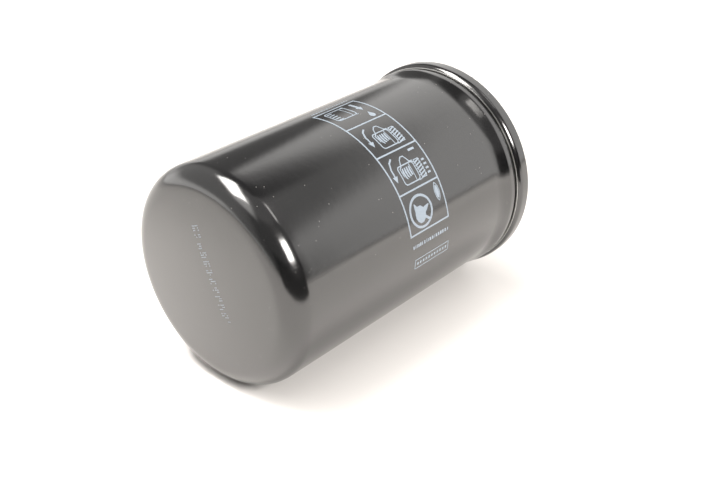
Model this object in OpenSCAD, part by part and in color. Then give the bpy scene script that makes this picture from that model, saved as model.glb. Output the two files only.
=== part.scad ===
// Spin-on engine oil filter, lying on its side.
// The filter's axis runs along X: the closed, domed end points to -X and the
// end that screws onto the engine points to +X. The origin is on the axis, at
// the mouth of the threaded neck. Turned profiles are lists of [radius, x].

/* [Can] */
// Outside diameter of the can
can_d = 76; // [72:0.5:100]
// Length from the middle of the dome to the end of the rolled seam
can_len = 122.4; // [90:0.1:180]
// Thickness of the can's sheet
can_t = 0.5; // [0.3:0.05:0.8]
// Radius of the round corner between the wall and the dome
corner_r = 8.2; // [4:0.1:14]
// Radius of the shallow crown of the dome
crown_r = 360; // [120:5:800]
// How far the widened mouth of the can stands out from its wall
bead_h = 1.1; // [0.7:0.05:2]
// Length of the cone that widens the mouth
flare_len = 4.8; // [3:0.1:8]

/* [Rolled seam] */
// How far the seam stands out from the can's wall
seam_proud = 2.2; // [2:0.05:4]
// Height of the seam along the axis
seam_h = 6.6; // [5:0.1:9]

/* [Lid] */
// Thickness of the lid's sheet
lid_t = 0.6; // [0.4:0.05:0.8]
// Diameter of the lid's middle hole
lid_hole_d = 50; // [47:0.5:52]
// How far the threaded mouth lies below the end of the seam
mouth_setback = 2.4; // [2.2:0.1:4]
// Width of the flat ledge between the gasket's channel and the seam
ledge_w = 1.3; // [1.2:0.1:3]
// Number of spot welds between the lid and the base plate
weld_count = 8; // [4:1:12]
// Diameter of a spot weld
weld_d = 2.8; // [2:0.1:3]
// How far a spot weld is sunk below the lid's face
weld_sunk = 0.2; // [0.1:0.05:0.3]

/* [Gasket] */
// Width of the gasket's section
gasket_w = 4.5; // [3.5:0.1:6]
// Height of the gasket's section
gasket_h = 6; // [5:0.1:7]
// How far the gasket stands out past the seam
gasket_proud = 1.6; // [1:0.1:3]
// Bevel on the gasket's edges
gasket_bevel = 0.4; // [0.35:0.05:0.8]

/* [Base plate] */
// Thickness of the base plate
plate_t = 3.2; // [2.5:0.1:4]
// Diameter of the threaded bore, at the crests of its thread
thread_bore_d = 17.5; // [14:0.1:20]
// Length of the threaded bore
thread_len = 11; // [9:0.5:13]
// Wall around the threaded bore
neck_wall = 3.25; // [2.5:0.05:3.5]
// Gap between the base plate's rim and the can
plate_gap = 0.1; // [0.05:0.01:0.3]
// Number of inlet holes
inlet_count = 8; // [6:1:8]
// Diameter of an inlet hole
inlet_d = 6.5; // [5:0.1:6.6]
// Gap between an inlet hole and the valve's hub
inlet_gap = 0.8; // [0.5:0.1:2]

/* [Drain-back valve] */
// Width of the rubber hub around the neck
hub_w = 4.35; // [3:0.05:5]
// Height of the rubber hub, which holds the element off the base plate
hub_h = 6.8; // [6.4:0.1:9]
// Thickness of the valve's lip
lip_t = 1.1; // [0.8:0.05:1.3]
// How far the lip reaches past the inlet holes
lip_reach = 3.4; // [2:0.1:4]
// Travel of the lip when oil flows in
lip_travel = 1.8; // [1:0.1:1.9]
// Running gap between the lip and its hub
lip_gap = 0.05; // [0.02:0.01:0.1]

/* [Filter element] */
// Gap between the element and the can
element_gap = 3.9; // [3:0.1:8]
// Number of pleats
pleat_count = 56; // [40:1:64]
// Thickness of the paper
paper_t = 0.7; // [0.4:0.05:0.8]
// Gap between the inner folds and the centre tube
tube_gap = 2; // [1:0.1:4]
// Thickness of the end caps' sheet
cap_t = 0.5; // [0.3:0.05:0.8]
// Height of the end caps' rims
cap_rim_h = 3; // [2:0.1:5]
// Depth of the glue that holds the paper in each end cap
glue_h = 1.5; // [1:0.1:3]
// Gap between the glue and the rims of the end caps
glue_gap = 0.05; // [0.02:0.01:0.2]
// Length of the metal clip along a fold
clip_depth = 3.5; // [2.5:0.1:6]
// Thickness of the clip's sheet
clip_t = 0.3; // [0.2:0.05:0.4]
// Gap between the clip and the paper
clip_gap = 0.03; // [0.02:0.01:0.1]

/* [Centre tube] */
// Outside diameter of the centre tube
tube_d = 38; // [36:0.5:42]
// Thickness of the centre tube
tube_t = 0.5; // [0.4:0.05:0.8]
// Diameter of the holes in the centre tube
perf_d = 4.4; // [3:0.1:6]
// Spacing of the rows of holes along the tube
perf_pitch = 9.5; // [8:0.1:14]
// Number of holes around the tube
perf_around = 10; // [6:1:12]

/* [Bypass valve] */
// Diameter of the hole that the bypass valve closes
port_d = 15; // [10:0.5:17]
// Outside diameter of the valve's seat
seat_d = 30; // [29:0.5:32]
// Thickness of the seat's sheet
seat_t = 0.6; // [0.4:0.05:0.8]
// Depth of the seat's wall
seat_h = 5.5; // [5:0.1:7]
// Diameter of the moving disc
disc_d = 23; // [20:0.5:23.5]
// Thickness of the moving disc
disc_t = 0.8; // [0.6:0.1:1.2]
// Thickness of the rubber seal under the disc
seal_t = 1.2; // [0.8:0.1:1.6]
// Diameter of the disc's guide stem
stem_d = 4; // [3:0.1:5]
// Diameter of the collar that stops the stem at the cage
stem_collar_d = 6.4; // [5.6:0.1:8]
// Running gap between the stem and its guide
stem_gap = 0.05; // [0.02:0.01:0.1]
// Travel of the disc from closed to open
bypass_travel = 3.5; // [2:0.1:4]
// Length of the valve's spring when closed
bypass_spring_len = 14; // [12:0.5:20]
// Wire diameter of the valve's spring
bypass_wire_d = 1.2; // [0.8:0.1:1.4]
// Turns in the valve's spring
bypass_turns = 6; // [4:0.5:7]

/* [Element spring] */
// Room for the element spring between the seat and the dome
spring_room = 12.4; // [10:0.1:18]
// Wire diameter of the element spring
spring_wire_d = 2.2; // [1.6:0.1:2.6]
// Mean radius of the spring where it bears on the element
spring_top_r = 12; // [11:0.5:13]
// Mean radius of the spring where it bears on the dome
spring_foot_r = 20; // [16:0.5:23]
// Turns in the element spring
spring_turns = 2.5; // [2:0.5:3]

/* [Hidden] */

$fn = 96;
arc_steps = 6;
touch = 0.01;

// Places along the axis
seam_x = mouth_setback;
dome_x = seam_x - can_len;
lid_face_x = lid_t;
gasket_top_x = seam_x + gasket_proud;
channel_x = gasket_top_x - gasket_h;
ring_face_x = channel_x - lid_t;
plate_back_x = -plate_t;
ring_back_x = ring_face_x - plate_t;
neck_end_x = -thread_len;
element_top_x = plate_back_x - hub_h;
seat_back_x = dome_x + can_t + spring_room;
element_bottom_x = seat_back_x;
paper_top_x = element_top_x - cap_t - glue_h;
paper_bottom_x = element_bottom_x + cap_t + glue_h;

// Radii
can_r = can_d / 2;
seam_r = can_r + seam_proud;
hook_r = seam_r - lid_t;
cover_hook_r = hook_r - can_t;
mouth_r = cover_hook_r - lid_t;
chuck_r = mouth_r - can_t;
plate_r = chuck_r - plate_gap;
channel_wall_r = chuck_r - lid_t - ledge_w;
gasket_or = channel_wall_r - lid_t;
gasket_ir = gasket_or - gasket_w;
step_r = gasket_ir - lid_t;
flat_back_r = step_r - 2.2;
thread_r = thread_bore_d / 2;
neck_r = thread_r + neck_wall;
hub_ir = neck_r + touch;
hub_or = hub_ir + hub_w;
inlet_ring_r = hub_or + inlet_gap + inlet_d / 2;
lip_or = inlet_ring_r + inlet_d / 2 + lip_reach;
weld_ring_r = (lid_hole_d / 2 + step_r) / 2;
element_r = can_r - can_t - element_gap;
collar_r = neck_r + 0.75;
tube_r = tube_d / 2;
paper_or = element_r - cap_t - 0.6;
paper_ir = tube_r + tube_gap;
glue_or = element_r - cap_t - glue_gap;
seat_r = seat_d / 2;

// Bypass valve, from the seat towards the mouth
seal_x = seat_back_x + seat_t;
disc_x = seal_x + seal_t;
spring_x = disc_x + disc_t;
cage_x = spring_x + bypass_spring_len;
cage_ir = disc_d / 2 + 0.7;
cage_or = cage_ir + seat_t;
cage_flange_x = seal_x + seal_t + disc_t + 1.2;

// A direction of length 1
function unit(v) = v / norm(v);

// The left-hand normal of the line from a to b
function left(a, b) = let (d = unit(b - a)) [-d[1], d[0]];

// The arc that rounds the corner b between a and c to radius r
function bend(a, b, c, r) =
    let (
        u = unit(a - b),
        v = unit(c - b),
        half = acos(u * v) / 2,
        reach = r / tan(half),
        centre = b + unit(u + v) * r / sin(half),
        p = b + u * reach - centre,
        q = b + v * reach - centre,
        start = atan2(p[1], p[0]),
        turn = atan2(p[0] * q[1] - p[1] * q[0], p * q)
    )
    [for (i = [0 : arc_steps])
        centre + r * [cos(start + turn * i / arc_steps), sin(start + turn * i / arc_steps)]];

// A route of [radius, x, bend radius] with its corners rounded
function rounded(route) =
    let (last = len(route) - 1, p = [for (q = route) [q[0], q[1]]])
    concat(
        [p[0]],
        [for (i = [1 : last - 1]) each (route[i][2] > 0
            ? bend(p[i - 1], p[i], p[i + 1], route[i][2])
            : [p[i]])],
        [p[last]]);

// The mitred offset of point i of a line by distance t
function offset_at(line, i, t) =
    let (
        last = len(line) - 1,
        m = left(line[max(i - 1, 0)], line[max(i, 1)]),
        n = left(line[min(i, last - 1)], line[min(i + 1, last)])
    )
    line[i] + (m + n) / (1 + m * n) * t;

// Keeps a point on or outside the axis
function off_axis(p) = [max(p[0], 0), p[1]];

// The closed outline of a sheet of thickness t along a middle line
function sheet(line, t) =
    let (last = len(line) - 1)
    concat(
        [for (i = [0 : last]) off_axis(offset_at(line, i, t / 2))],
        [for (i = [last : -1 : 0]) off_axis(offset_at(line, i, -t / 2))]);

// A ring with a rectangular section and bevelled edges
function bevelled_ring(ir, or, x0, x1, b) = [
    [ir + b, x0], [or - b, x0], [or, x0 + b], [or, x1 - b],
    [or - b, x1], [ir + b, x1], [ir, x1 - b], [ir, x0 + b]];

// The middle line of the dome: its crown, then its round corner
function dome_line() =
    let (
        crown = crown_r - can_t / 2,
        corner = corner_r - can_t / 2,
        corner_at = can_r - corner_r,
        sphere_x = dome_x + crown_r,
        edge = asin(corner_at / (crown - corner)),
        corner_x = sphere_x - (crown - corner) * cos(edge),
        steps = 10
    )
    concat(
        [for (i = [0 : steps]) let (a = edge * i / steps)
            [crown * sin(a), sphere_x - crown * cos(a)]],
        [for (i = [1 : steps]) let (a = edge + (90 - edge) * i / steps)
            [corner_at + corner * sin(a), corner_x - corner * cos(a)]]);

// Where the inside of the dome lies at radius r
function dome_inside_x(r) =
    dome_x + crown_r - sqrt(pow(crown_r - can_t, 2) - r * r);

// A tube of round section along a list of points
module wire(points, wire_r, sides = 8) {
    last = len(points) - 1;
    rings = [for (i = [0 : last])
        let (
            along = unit(points[min(i + 1, last)] - points[max(i - 1, 0)]),
            side = unit(cross(along, [1, 0, 0])),
            up = cross(side, along)
        )
        for (k = [0 : sides - 1])
            let (a = 360 * k / sides)
            points[i] + wire_r * (cos(a) * side + sin(a) * up)];
    walls = [for (i = [0 : last - 1], k = [0 : sides - 1])
        let (n = (k + 1) % sides)
        [i * sides + k, i * sides + n, (i + 1) * sides + n, (i + 1) * sides + k]];
    quads = [for (w = walls) each [[w[0], w[1], w[2]], [w[0], w[2], w[3]]]];
    caps = [
        [for (k = [sides - 1 : -1 : 0]) k],
        [for (k = [0 : sides - 1]) last * sides + k]];
    polyhedron(rings, concat(quads, caps));
}

// The points of a coil spring, with half a closed turn at each end
function coil(x0, x1, r0, r1, turns, per_turn = 16) =
    let (steps = round(turns * per_turn), rest = 0.5 / turns)
    [for (i = [0 : steps])
        let (
            s = i / steps,
            rise = min(max((s - rest) / (1 - 2 * rest), 0), 1),
            r = r0 + (r1 - r0) * s,
            a = 360 * turns * s
        )
        [x0 + (x1 - x0) * rise, r * cos(a), r * sin(a)]];

// A profile of [radius, x] turned about the filter's axis
module turned(profile) {
    rotate([0, 90, 0])
        rotate_extrude()
            polygon(profile);
}

// A round bar along the axis from x0 to x1, at radius r and an angle
module bar(x0, x1, d, r = 0, angle = 0) {
    rotate([angle, 0, 0])
        translate([x0, 0, r])
            rotate([0, 90, 0])
                cylinder(h = x1 - x0, d = d);
}

// Drawn steel can: dome, wall, widened mouth and the hook in the seam
module can() {
    wall_r = can_r - can_t / 2;
    bead_r = wall_r + bead_h;
    under_seam_r = mouth_r - can_t / 2;
    bead_x = seam_x - seam_h - 1.7;
    fold_x = seam_x - lid_t - can_t / 2;
    color("dimgray")
        turned(sheet(concat(dome_line(), rounded([
            [wall_r, dome_x + corner_r + 4, 0],
            [wall_r, bead_x - 2.3 - flare_len, 6],
            [bead_r, bead_x - 2.3, 4],
            [bead_r, bead_x, 0.8],
            [under_seam_r, bead_x + 0.7, 0.6],
            [under_seam_r, fold_x, 0.5],
            [hook_r - can_t / 2, fold_x, 0.5],
            [hook_r - can_t / 2, seam_x - seam_h + lid_t + 0.9, 0]])), can_t));
}

// Thin lid: flat ring, gasket channel, ledge and the outer roll of the seam
module seaming_lid() {
    h = lid_t / 2;
    foot_x = seam_x - seam_h + h;
    color("silver")
        difference() {
            turned(sheet(rounded([
                [lid_hole_d / 2, lid_face_x - h, 0],
                [gasket_ir - h, lid_face_x - h, 0.6],
                [gasket_ir - h, channel_x - h, 0.6],
                [gasket_or + h, channel_x - h, 0.6],
                [gasket_or + h, lid_face_x, 0.6],
                [chuck_r - h, lid_face_x, 0.6],
                [chuck_r - h, seam_x - h, 0.9],
                [seam_r - h, seam_x - h, 0.9],
                [seam_r - h, foot_x, 0.55],
                [cover_hook_r - h, foot_x, 0.55],
                [cover_hook_r - h, seam_x - 2.2, 0]]), lid_t));
            for (i = [0 : weld_count - 1])
                bar(-1, lid_face_x + 1, weld_d, weld_ring_r, 360 * (i + 0.5) / weld_count);
        }
}

// Sealing compound in the fold of the seam
module seam_sealant() {
    gap = 0.05;
    color("darkseagreen")
        turned(bevelled_ring(mouth_r + gap, cover_hook_r - gap, seam_x - 2.1, seam_x - 1.5, 0.1));
}

// Thick base plate: threaded neck, inlet holes and the ring under the gasket
module base_plate() {
    color("lightsteelblue")
        difference() {
            turned([
                [thread_r, 0],
                [step_r - 0.5, 0],
                [step_r, -0.5],
                [step_r, ring_face_x],
                [plate_r, ring_face_x],
                [plate_r, ring_back_x],
                [step_r, ring_back_x],
                [flat_back_r, plate_back_x],
                [neck_r, plate_back_x],
                [neck_r, neck_end_x],
                [thread_r, neck_end_x]]);
            for (i = [0 : inlet_count - 1])
                bar(plate_back_x - 1, 1, inlet_d, inlet_ring_r, 360 * i / inlet_count);
        }
}

// Spot welds that fix the lid to the base plate
module spot_welds() {
    color("gray")
        for (i = [0 : weld_count - 1])
            bar(0, lid_face_x - weld_sunk, weld_d, weld_ring_r, 360 * (i + 0.5) / weld_count);
}

// Rubber gasket that seals on the engine
module seating_gasket() {
    color("black")
        turned(bevelled_ring(gasket_ir, gasket_or, channel_x, gasket_top_x, gasket_bevel));
}

// Hub of the drain-back valve, between the base plate and the element
module drainback_hub() {
    color("darkorange")
        turned(bevelled_ring(hub_ir, hub_or, element_top_x, plate_back_x, 0.3));
}

// Lip of the drain-back valve, which covers the inlet holes
module drainback_lip() {
    root_r = hub_or + lip_gap;
    root_x = element_top_x + lip_travel + 0.2;
    tip_w = 1.4;
    color("orange")
        turned([
            [root_r, root_x],
            [root_r + 0.8, root_x],
            [lip_or, plate_back_x - lip_t - 0.4],
            [lip_or, plate_back_x - 0.3],
            [lip_or - 0.3, plate_back_x],
            [lip_or - tip_w, plate_back_x],
            [root_r + 0.8, root_x + lip_t],
            [root_r, root_x + lip_t]]);
}

// Steel cap on the engine end of the element
module top_end_cap() {
    color("gainsboro")
        turned(sheet(rounded([
            [collar_r + cap_t / 2, element_top_x - cap_rim_h, 0],
            [collar_r + cap_t / 2, element_top_x - cap_t / 2, 0.8],
            [element_r - cap_t / 2, element_top_x - cap_t / 2, 0.8],
            [element_r - cap_t / 2, element_top_x - cap_rim_h, 0]]), cap_t));
}

// Steel cap on the dome end of the element, with a collar for the bypass seat
module bottom_end_cap() {
    color("gainsboro")
        turned(sheet(rounded([
            [seat_r + cap_t / 2, element_bottom_x + seat_h - 1, 0],
            [seat_r + cap_t / 2, element_bottom_x + cap_t / 2, 0.5],
            [element_r - cap_t / 2, element_bottom_x + cap_t / 2, 0.8],
            [element_r - cap_t / 2, element_bottom_x + cap_rim_h, 0]]), cap_t));
}

// A ring of glue between the centre tube and an end cap's rim
module glue_ring(x0, x1) {
    color("indianred")
        turned(bevelled_ring(tube_r + glue_gap, glue_or, x0, x1, 0.6));
}

// Glue in the cap at the engine end
module top_glue() {
    glue_ring(paper_top_x, element_top_x - cap_t);
}

// Glue in the cap at the dome end
module bottom_glue() {
    glue_ring(element_bottom_x + cap_t, paper_bottom_x);
}

// One fold line of the paper: even points lie outside, odd points inside
function fold(i, out, in) =
    let (a = 180 * i / pleat_count, r = i % 2 == 0 ? out : in)
    r * [cos(a), sin(a)];

// Paper folded into a ring of pleats
module pleated_paper() {
    folds = [for (i = [0 : 2 * pleat_count - 1]) i];
    color("tan")
        translate([paper_bottom_x, 0, 0])
            rotate([0, 90, 0])
                linear_extrude(paper_top_x - paper_bottom_x)
                    difference() {
                        polygon([for (i = folds) fold(i, paper_or, paper_ir + 2 * paper_t)]);
                        polygon([for (i = folds) fold(i, paper_or - 2 * paper_t, paper_ir)]);
                    }
}

// Metal clip that joins the two ends of the paper, pinched over one fold
module paper_clip() {
    tip = [paper_or, 0];
    in_edge = unit(fold(1, paper_or, paper_ir + 2 * paper_t) - tip);
    side = [in_edge[1], -in_edge[0]];
    stand = clip_gap + clip_t / 2;
    top = tip + side * stand;
    shoulder = top + in_edge * (paper_or + stand - top[0]) / in_edge[0];
    heel = top + in_edge * clip_depth;
    color("gainsboro")
        translate([paper_bottom_x + 0.5, 0, 0])
            rotate([0, 90, 0])
                linear_extrude(paper_top_x - paper_bottom_x - 1)
                    polygon(sheet([
                        heel,
                        shoulder,
                        [shoulder[0], -shoulder[1]],
                        [heel[0], -heel[1]]], clip_t));
}

// Perforated steel tube that keeps the paper from collapsing
module centre_tube() {
    x0 = element_bottom_x + cap_t;
    x1 = element_top_x - cap_t;
    rows = floor((x1 - x0 - 8) / perf_pitch);
    first = (x0 + x1) / 2 - (rows - 1) * perf_pitch / 2;
    color("silver")
        difference() {
            turned([[tube_r - tube_t, x0], [tube_r, x0], [tube_r, x1], [tube_r - tube_t, x1]]);
            for (i = [0 : rows - 1], k = [0 : perf_around - 1])
                translate([first + i * perf_pitch, 0, 0])
                    rotate([360 * (k + (i % 2) / 2) / perf_around, 0, 0])
                        translate([0, 0, tube_r - tube_t - 2])
                            cylinder(h = tube_t + 4, d = perf_d);
        }
}

// Pressed seat of the bypass valve, held in the collar of the bottom cap
module bypass_seat() {
    color("goldenrod")
        turned(sheet(rounded([
            [port_d / 2, seat_back_x + seat_t / 2, 0],
            [seat_r - seat_t / 2, seat_back_x + seat_t / 2, 0.7],
            [seat_r - seat_t / 2, seat_back_x + seat_h, 0]]), seat_t));
}

// Rubber washer that seals the bypass valve
module bypass_seal() {
    color("black")
        turned(bevelled_ring(stem_d / 2 + 1, disc_d / 2, seal_x, disc_x, 0.2));
}

// Moving disc of the bypass valve, with its guide stem and the collar that stops it
module bypass_disc() {
    color("lightgray")
        union() {
            bar(disc_x, spring_x, disc_d);
            bar(disc_x, cage_x - bypass_travel, stem_collar_d);
            bar(disc_x, cage_x + seat_t + 2, stem_d);
        }
}

// Coil spring that keeps the bypass valve shut
module bypass_spring() {
    wire_r = bypass_wire_d / 2;
    color("slategray")
        wire(coil(spring_x + wire_r, cage_x - wire_r, 5.2, 5.2, bypass_turns), wire_r);
}

// Cage that holds the bypass spring and guides the stem
module bypass_cage() {
    h = seat_t / 2;
    window_h = cage_x - cage_flange_x - 4.5;
    color("goldenrod")
        difference() {
            turned(sheet(rounded([
                [seat_r - seat_t, cage_flange_x - h, 0],
                [cage_or - h, cage_flange_x - h, 0.5],
                [cage_or - h, cage_x + h, 1],
                [stem_d / 2 + stem_gap, cage_x + h, 0]]), seat_t));
            for (i = [0 : 2])
                rotate([120 * i, 0, 0])
                    translate([cage_flange_x + 1.5, -5, 5])
                        cube([window_h, 10, cage_or]);
        }
}

// Conical coil spring that presses the element against the base plate
module element_spring() {
    wire_r = spring_wire_d / 2;
    foot_x = dome_inside_x(spring_foot_r) + wire_r + 0.02;
    color("slategray")
        wire(coil(foot_x, seat_back_x - wire_r, spring_foot_r, spring_top_r, spring_turns, 24),
            wire_r);
}

can();
seaming_lid();
seam_sealant();
base_plate();
spot_welds();
seating_gasket();
drainback_hub();
drainback_lip();
top_end_cap();
top_glue();
pleated_paper();
paper_clip();
centre_tube();
bottom_glue();
bottom_end_cap();
bypass_seat();
bypass_seal();
bypass_disc();
bypass_spring();
bypass_cage();
element_spring();
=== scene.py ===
import math
import random

import bmesh
import bpy
from mathutils import Matrix, Quaternion, Vector


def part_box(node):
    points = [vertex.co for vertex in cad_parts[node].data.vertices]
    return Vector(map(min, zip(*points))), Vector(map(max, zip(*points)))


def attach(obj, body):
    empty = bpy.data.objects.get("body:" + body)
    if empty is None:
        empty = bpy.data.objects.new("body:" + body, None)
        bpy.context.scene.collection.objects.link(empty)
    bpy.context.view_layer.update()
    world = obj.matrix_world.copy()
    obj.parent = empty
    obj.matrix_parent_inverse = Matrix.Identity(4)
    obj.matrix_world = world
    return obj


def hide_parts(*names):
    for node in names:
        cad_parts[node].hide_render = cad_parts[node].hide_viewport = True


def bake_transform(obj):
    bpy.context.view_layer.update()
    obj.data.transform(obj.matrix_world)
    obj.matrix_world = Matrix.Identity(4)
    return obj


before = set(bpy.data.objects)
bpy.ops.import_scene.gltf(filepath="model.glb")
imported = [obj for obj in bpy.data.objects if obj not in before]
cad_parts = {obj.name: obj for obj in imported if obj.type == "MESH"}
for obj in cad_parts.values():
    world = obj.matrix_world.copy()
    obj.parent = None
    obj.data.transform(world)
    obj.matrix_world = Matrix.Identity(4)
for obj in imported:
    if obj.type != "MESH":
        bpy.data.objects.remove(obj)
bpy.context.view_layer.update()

bl_info = {
    "name": "Spin-on oil filter",
    "version": (1, 0, 0),
    "blender": (4, 5, 0),
    "location": "3D View > Sidebar > Oil filter",
    "description": "Builds a spin-on oil filter around its packed frame, piece by piece",
    "category": "Object",
}

MM = 0.001
AROUND = 192  # sides of a turned piece


# Sizes and colours


def size(name, description, millimetres, low=0.0, high=500.0):
    """A length that the sidebar shows in the scene's units."""
    return bpy.props.FloatProperty(
        name=name, description=description, default=millimetres * MM,
        min=low * MM, max=high * MM, subtype="DISTANCE", unit="LENGTH", precision=5)


def place_x(name, description, millimetres):
    """A place along the filter's axis."""
    return size(name, description, millimetres, -300, 100)


def colour(name, description, value):
    """A surface colour."""
    return bpy.props.FloatVectorProperty(
        name=name, description=description, default=value, size=3,
        min=0.0, max=1.0, subtype="COLOR")


def number(name, description, value, low, high):
    """A count of like things."""
    return bpy.props.IntProperty(name=name, description=description, default=value, min=low, max=high)


CAN_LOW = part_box("can")[0]
LID_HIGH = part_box("seaming_lid")[1]
GASKET_LOW, GASKET_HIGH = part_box("seating_gasket")
PLATE_LOW, PLATE_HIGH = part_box("base_plate")
CAP_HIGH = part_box("top_end_cap")[1]
SEAT_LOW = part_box("bypass_seat")[0]
LID_HOLE = 25.0  # radius of the opening in the lid


class CanSizes(bpy.types.PropertyGroup):
    """The drawn can, its paint and the lid rolled on to it"""
    radius: size("Can radius", "Outside radius of the plain wall", 38.0, 20, 80)
    sheet: size("Can sheet", "Thickness of the can's steel", 0.5, 0.2, 2)
    corner: size("Corner radius", "Outside radius of the corner round the dome", 8.2, 2, 20)
    crown: size("Crown radius", "Radius of the shallow dome", 360.0, 80, 2000)
    dome_x: place_x("Dome", "Place of the middle of the dome along the axis", CAN_LOW.x / MM)
    seam_x: place_x("Seam top", "Place of the top of the rolled seam", LID_HIGH.x / MM)
    seam_radius: size("Seam radius", "Outside radius of the rolled seam", LID_HIGH.z / MM, 20, 90)
    seam_height: size("Seam height", "Height of the rolled seam", 6.6, 3, 12)
    lid_sheet: size("Lid sheet", "Thickness of the lid's steel", 0.6, 0.2, 2)
    paint: colour("Paint", "Enamel on the can and the seam", (0.004, 0.004, 0.0043))
    zinc: colour("Zinc", "Plated steel of the lid", (0.5, 0.5, 0.49))
    ink: colour("Ink", "Ink of the printed panel", (0.25, 0.295, 0.345))


class MountSizes(bpy.types.PropertyGroup):
    """The base plate, its thread, the gasket and the drain-back valve"""
    bore: size("Thread crest", "Radius of the bore at the crests of the thread", 8.75, 5, 20)
    thread_depth: size("Thread depth", "Height of the thread", 0.775, 0.3, 2)
    pitch: size("Thread pitch", "Distance from one turn of the thread to the next", 1.5875, 0.5, 4)
    neck_end: place_x("Neck end", "Inner end of the threaded neck", PLATE_LOW.x / MM)
    inlets: number("Oil inlets", "Number of inlet holes", 8, 4, 12)
    inlet_width: size("Inlet width", "Diameter of an inlet hole", 6.5, 3, 12)
    inlet_ring: size("Inlet ring", "Radius of the circle of inlet holes", 20.41, 10, 40)
    welds: number("Spot welds", "Number of spot welds", 8, 4, 16)
    weld_width: size("Weld width", "Diameter of a spot weld", 2.8, 1, 5)
    weld_ring: size("Weld ring", "Radius of the circle of spot welds", 27.7, 10, 50)
    gasket_inner: size("Gasket inner radius", "Inner radius of the seating gasket", 31.0, 10, 60)
    gasket_outer: size("Gasket outer radius", "Outer radius of the seating gasket", GASKET_HIGH.z / MM, 10, 60)
    steel: colour("Plate steel", "Pressed steel of the base plate", (0.42, 0.42, 0.43))
    nitrile: colour("Nitrile", "Rubber of the gasket and the bypass seal", (0.018, 0.018, 0.019))
    silicone: colour("Silicone", "Rubber of the drain-back valve", (0.42, 0.13, 0.06))


class ElementSizes(bpy.types.PropertyGroup):
    """The pleated element with its end caps, tube, bypass valve and springs"""
    radius: size("Element radius", "Outside radius of the end caps", CAP_HIGH.z / MM, 10, 70)
    top_x: place_x("Element top", "Face of the top end cap", CAP_HIGH.x / MM)
    bottom_x: place_x("Element bottom", "Face of the bottom end cap", SEAT_LOW.x / MM)
    cap_sheet: size("Cap sheet", "Thickness of the end caps", 0.5, 0.2, 2)
    pleats: number("Pleats", "Number of pleats in the paper", 56, 20, 90)
    paper: size("Paper", "Thickness of the filter paper", 0.7, 0.2, 1.5)
    paper_outer: size("Pleat tips", "Radius at the outer folds", 32.5, 10, 60)
    paper_inner: size("Pleat roots", "Radius at the inner folds", 21.0, 5, 50)
    tube_radius: size("Tube radius", "Outside radius of the centre tube", 19.0, 5, 40)
    hole: size("Tube hole", "Diameter of a hole in the centre tube", 4.4, 1, 8)
    hole_pitch: size("Hole pitch", "Distance between the rows of holes", 9.5, 4, 20)
    holes_around: number("Holes around", "Number of holes in one row", 10, 4, 16)
    paper_colour: colour("Filter paper", "Resin-cured paper", (0.66, 0.46, 0.21))
    tin: colour("Tinplate", "Steel of the end caps", (0.72, 0.72, 0.7))
    tube_colour: colour("Tube steel", "Steel of the centre tube", (0.6, 0.6, 0.6))
    glue: colour("Plastisol", "Glue in the end caps", (0.5, 0.16, 0.1))
    yellow: colour("Passivated zinc", "Bypass seat and cage", (0.7, 0.6, 0.36))
    wire: colour("Spring wire", "Drawn wire of both springs", (0.3, 0.3, 0.31))


class StageSizes(bpy.types.PropertyGroup):
    """The floor, the light and the camera"""
    floor: colour("Floor", "Pale studio floor", (0.84, 0.82, 0.8))
    lens: bpy.props.FloatProperty(
        name="Lens", description="Focal length of the camera in millimetres",
        default=50.89, min=10, max=300)
    eye: bpy.props.FloatVectorProperty(
        name="Camera place", description="Where the camera stands",
        default=(-0.28981, -0.21368, 0.16840), size=3, subtype="TRANSLATION", unit="LENGTH", precision=5)
    look: bpy.props.FloatVectorProperty(
        name="Camera direction", description="Which way the camera looks",
        default=(0.6541, 0.5755, -0.4908), size=3, subtype="DIRECTION")


# Outlines and solids, in millimetres as (radius, x)


def bend(before, corner, after, radius, steps):
    """The points of the arc that rounds one corner of a route."""
    u, v = (before - corner).normalized(), (after - corner).normalized()
    half = math.acos(max(-1.0, min(1.0, u.dot(v)))) / 2
    reach = radius / math.tan(half)
    centre = corner + (u + v).normalized() * (radius / math.sin(half))
    p, q = corner + u * reach - centre, corner + v * reach - centre
    start, turn = math.atan2(p.y, p.x), math.atan2(p.x * q.y - p.y * q.x, p.dot(q))
    angles = [start + turn * i / steps for i in range(steps + 1)]
    return [centre + radius * Vector((math.cos(a), math.sin(a))) for a in angles]


def rounded(route, steps=7):
    """A route of (radius, x) or (radius, x, bend radius) with its bends rounded."""
    at = [Vector(p[:2]) for p in route]
    line = [at[0]]
    for i in range(1, len(route) - 1):
        radius = route[i][2] if len(route[i]) > 2 else 0
        line += bend(at[i - 1], at[i], at[i + 1], radius, steps) if radius else [at[i]]
    return line + [at[-1]]


def beside(line, distance, closed=False):
    """The line moved sideways, to its left, with mitred corners."""
    count = len(line)
    moved = []
    for i, here in enumerate(line):
        back = line[i - 1] if closed or i else here
        on = line[(i + 1) % count] if closed or i < count - 1 else here
        u, v = here - back, on - here
        u = u.normalized() if u.length else v.normalized()
        v = v.normalized() if v.length else u
        m, n = Vector((-u.y, u.x)), Vector((-v.y, v.x))
        moved.append(here + (m + n) * (distance / max(0.25, 1 + m.dot(n))))
    return moved


def sheet_outline(line, thickness):
    """The closed outline of a sheet whose middle follows the line."""
    ends = beside(line, thickness / 2) + beside(line, -thickness / 2)[::-1]
    return [Vector((max(p.x, 0), p.y)) for p in ends]


def ring_outline(inner, outer, low, high, bevel, steps=3):
    """The closed outline of a ring with rounded edges."""
    corners = [Vector(p) for p in ((inner, low), (outer, low), (outer, high), (inner, high))]
    line = []
    for i in range(4):
        line += bend(corners[i - 1], corners[i], corners[(i + 1) % 4], bevel, steps)
    return line


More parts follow.
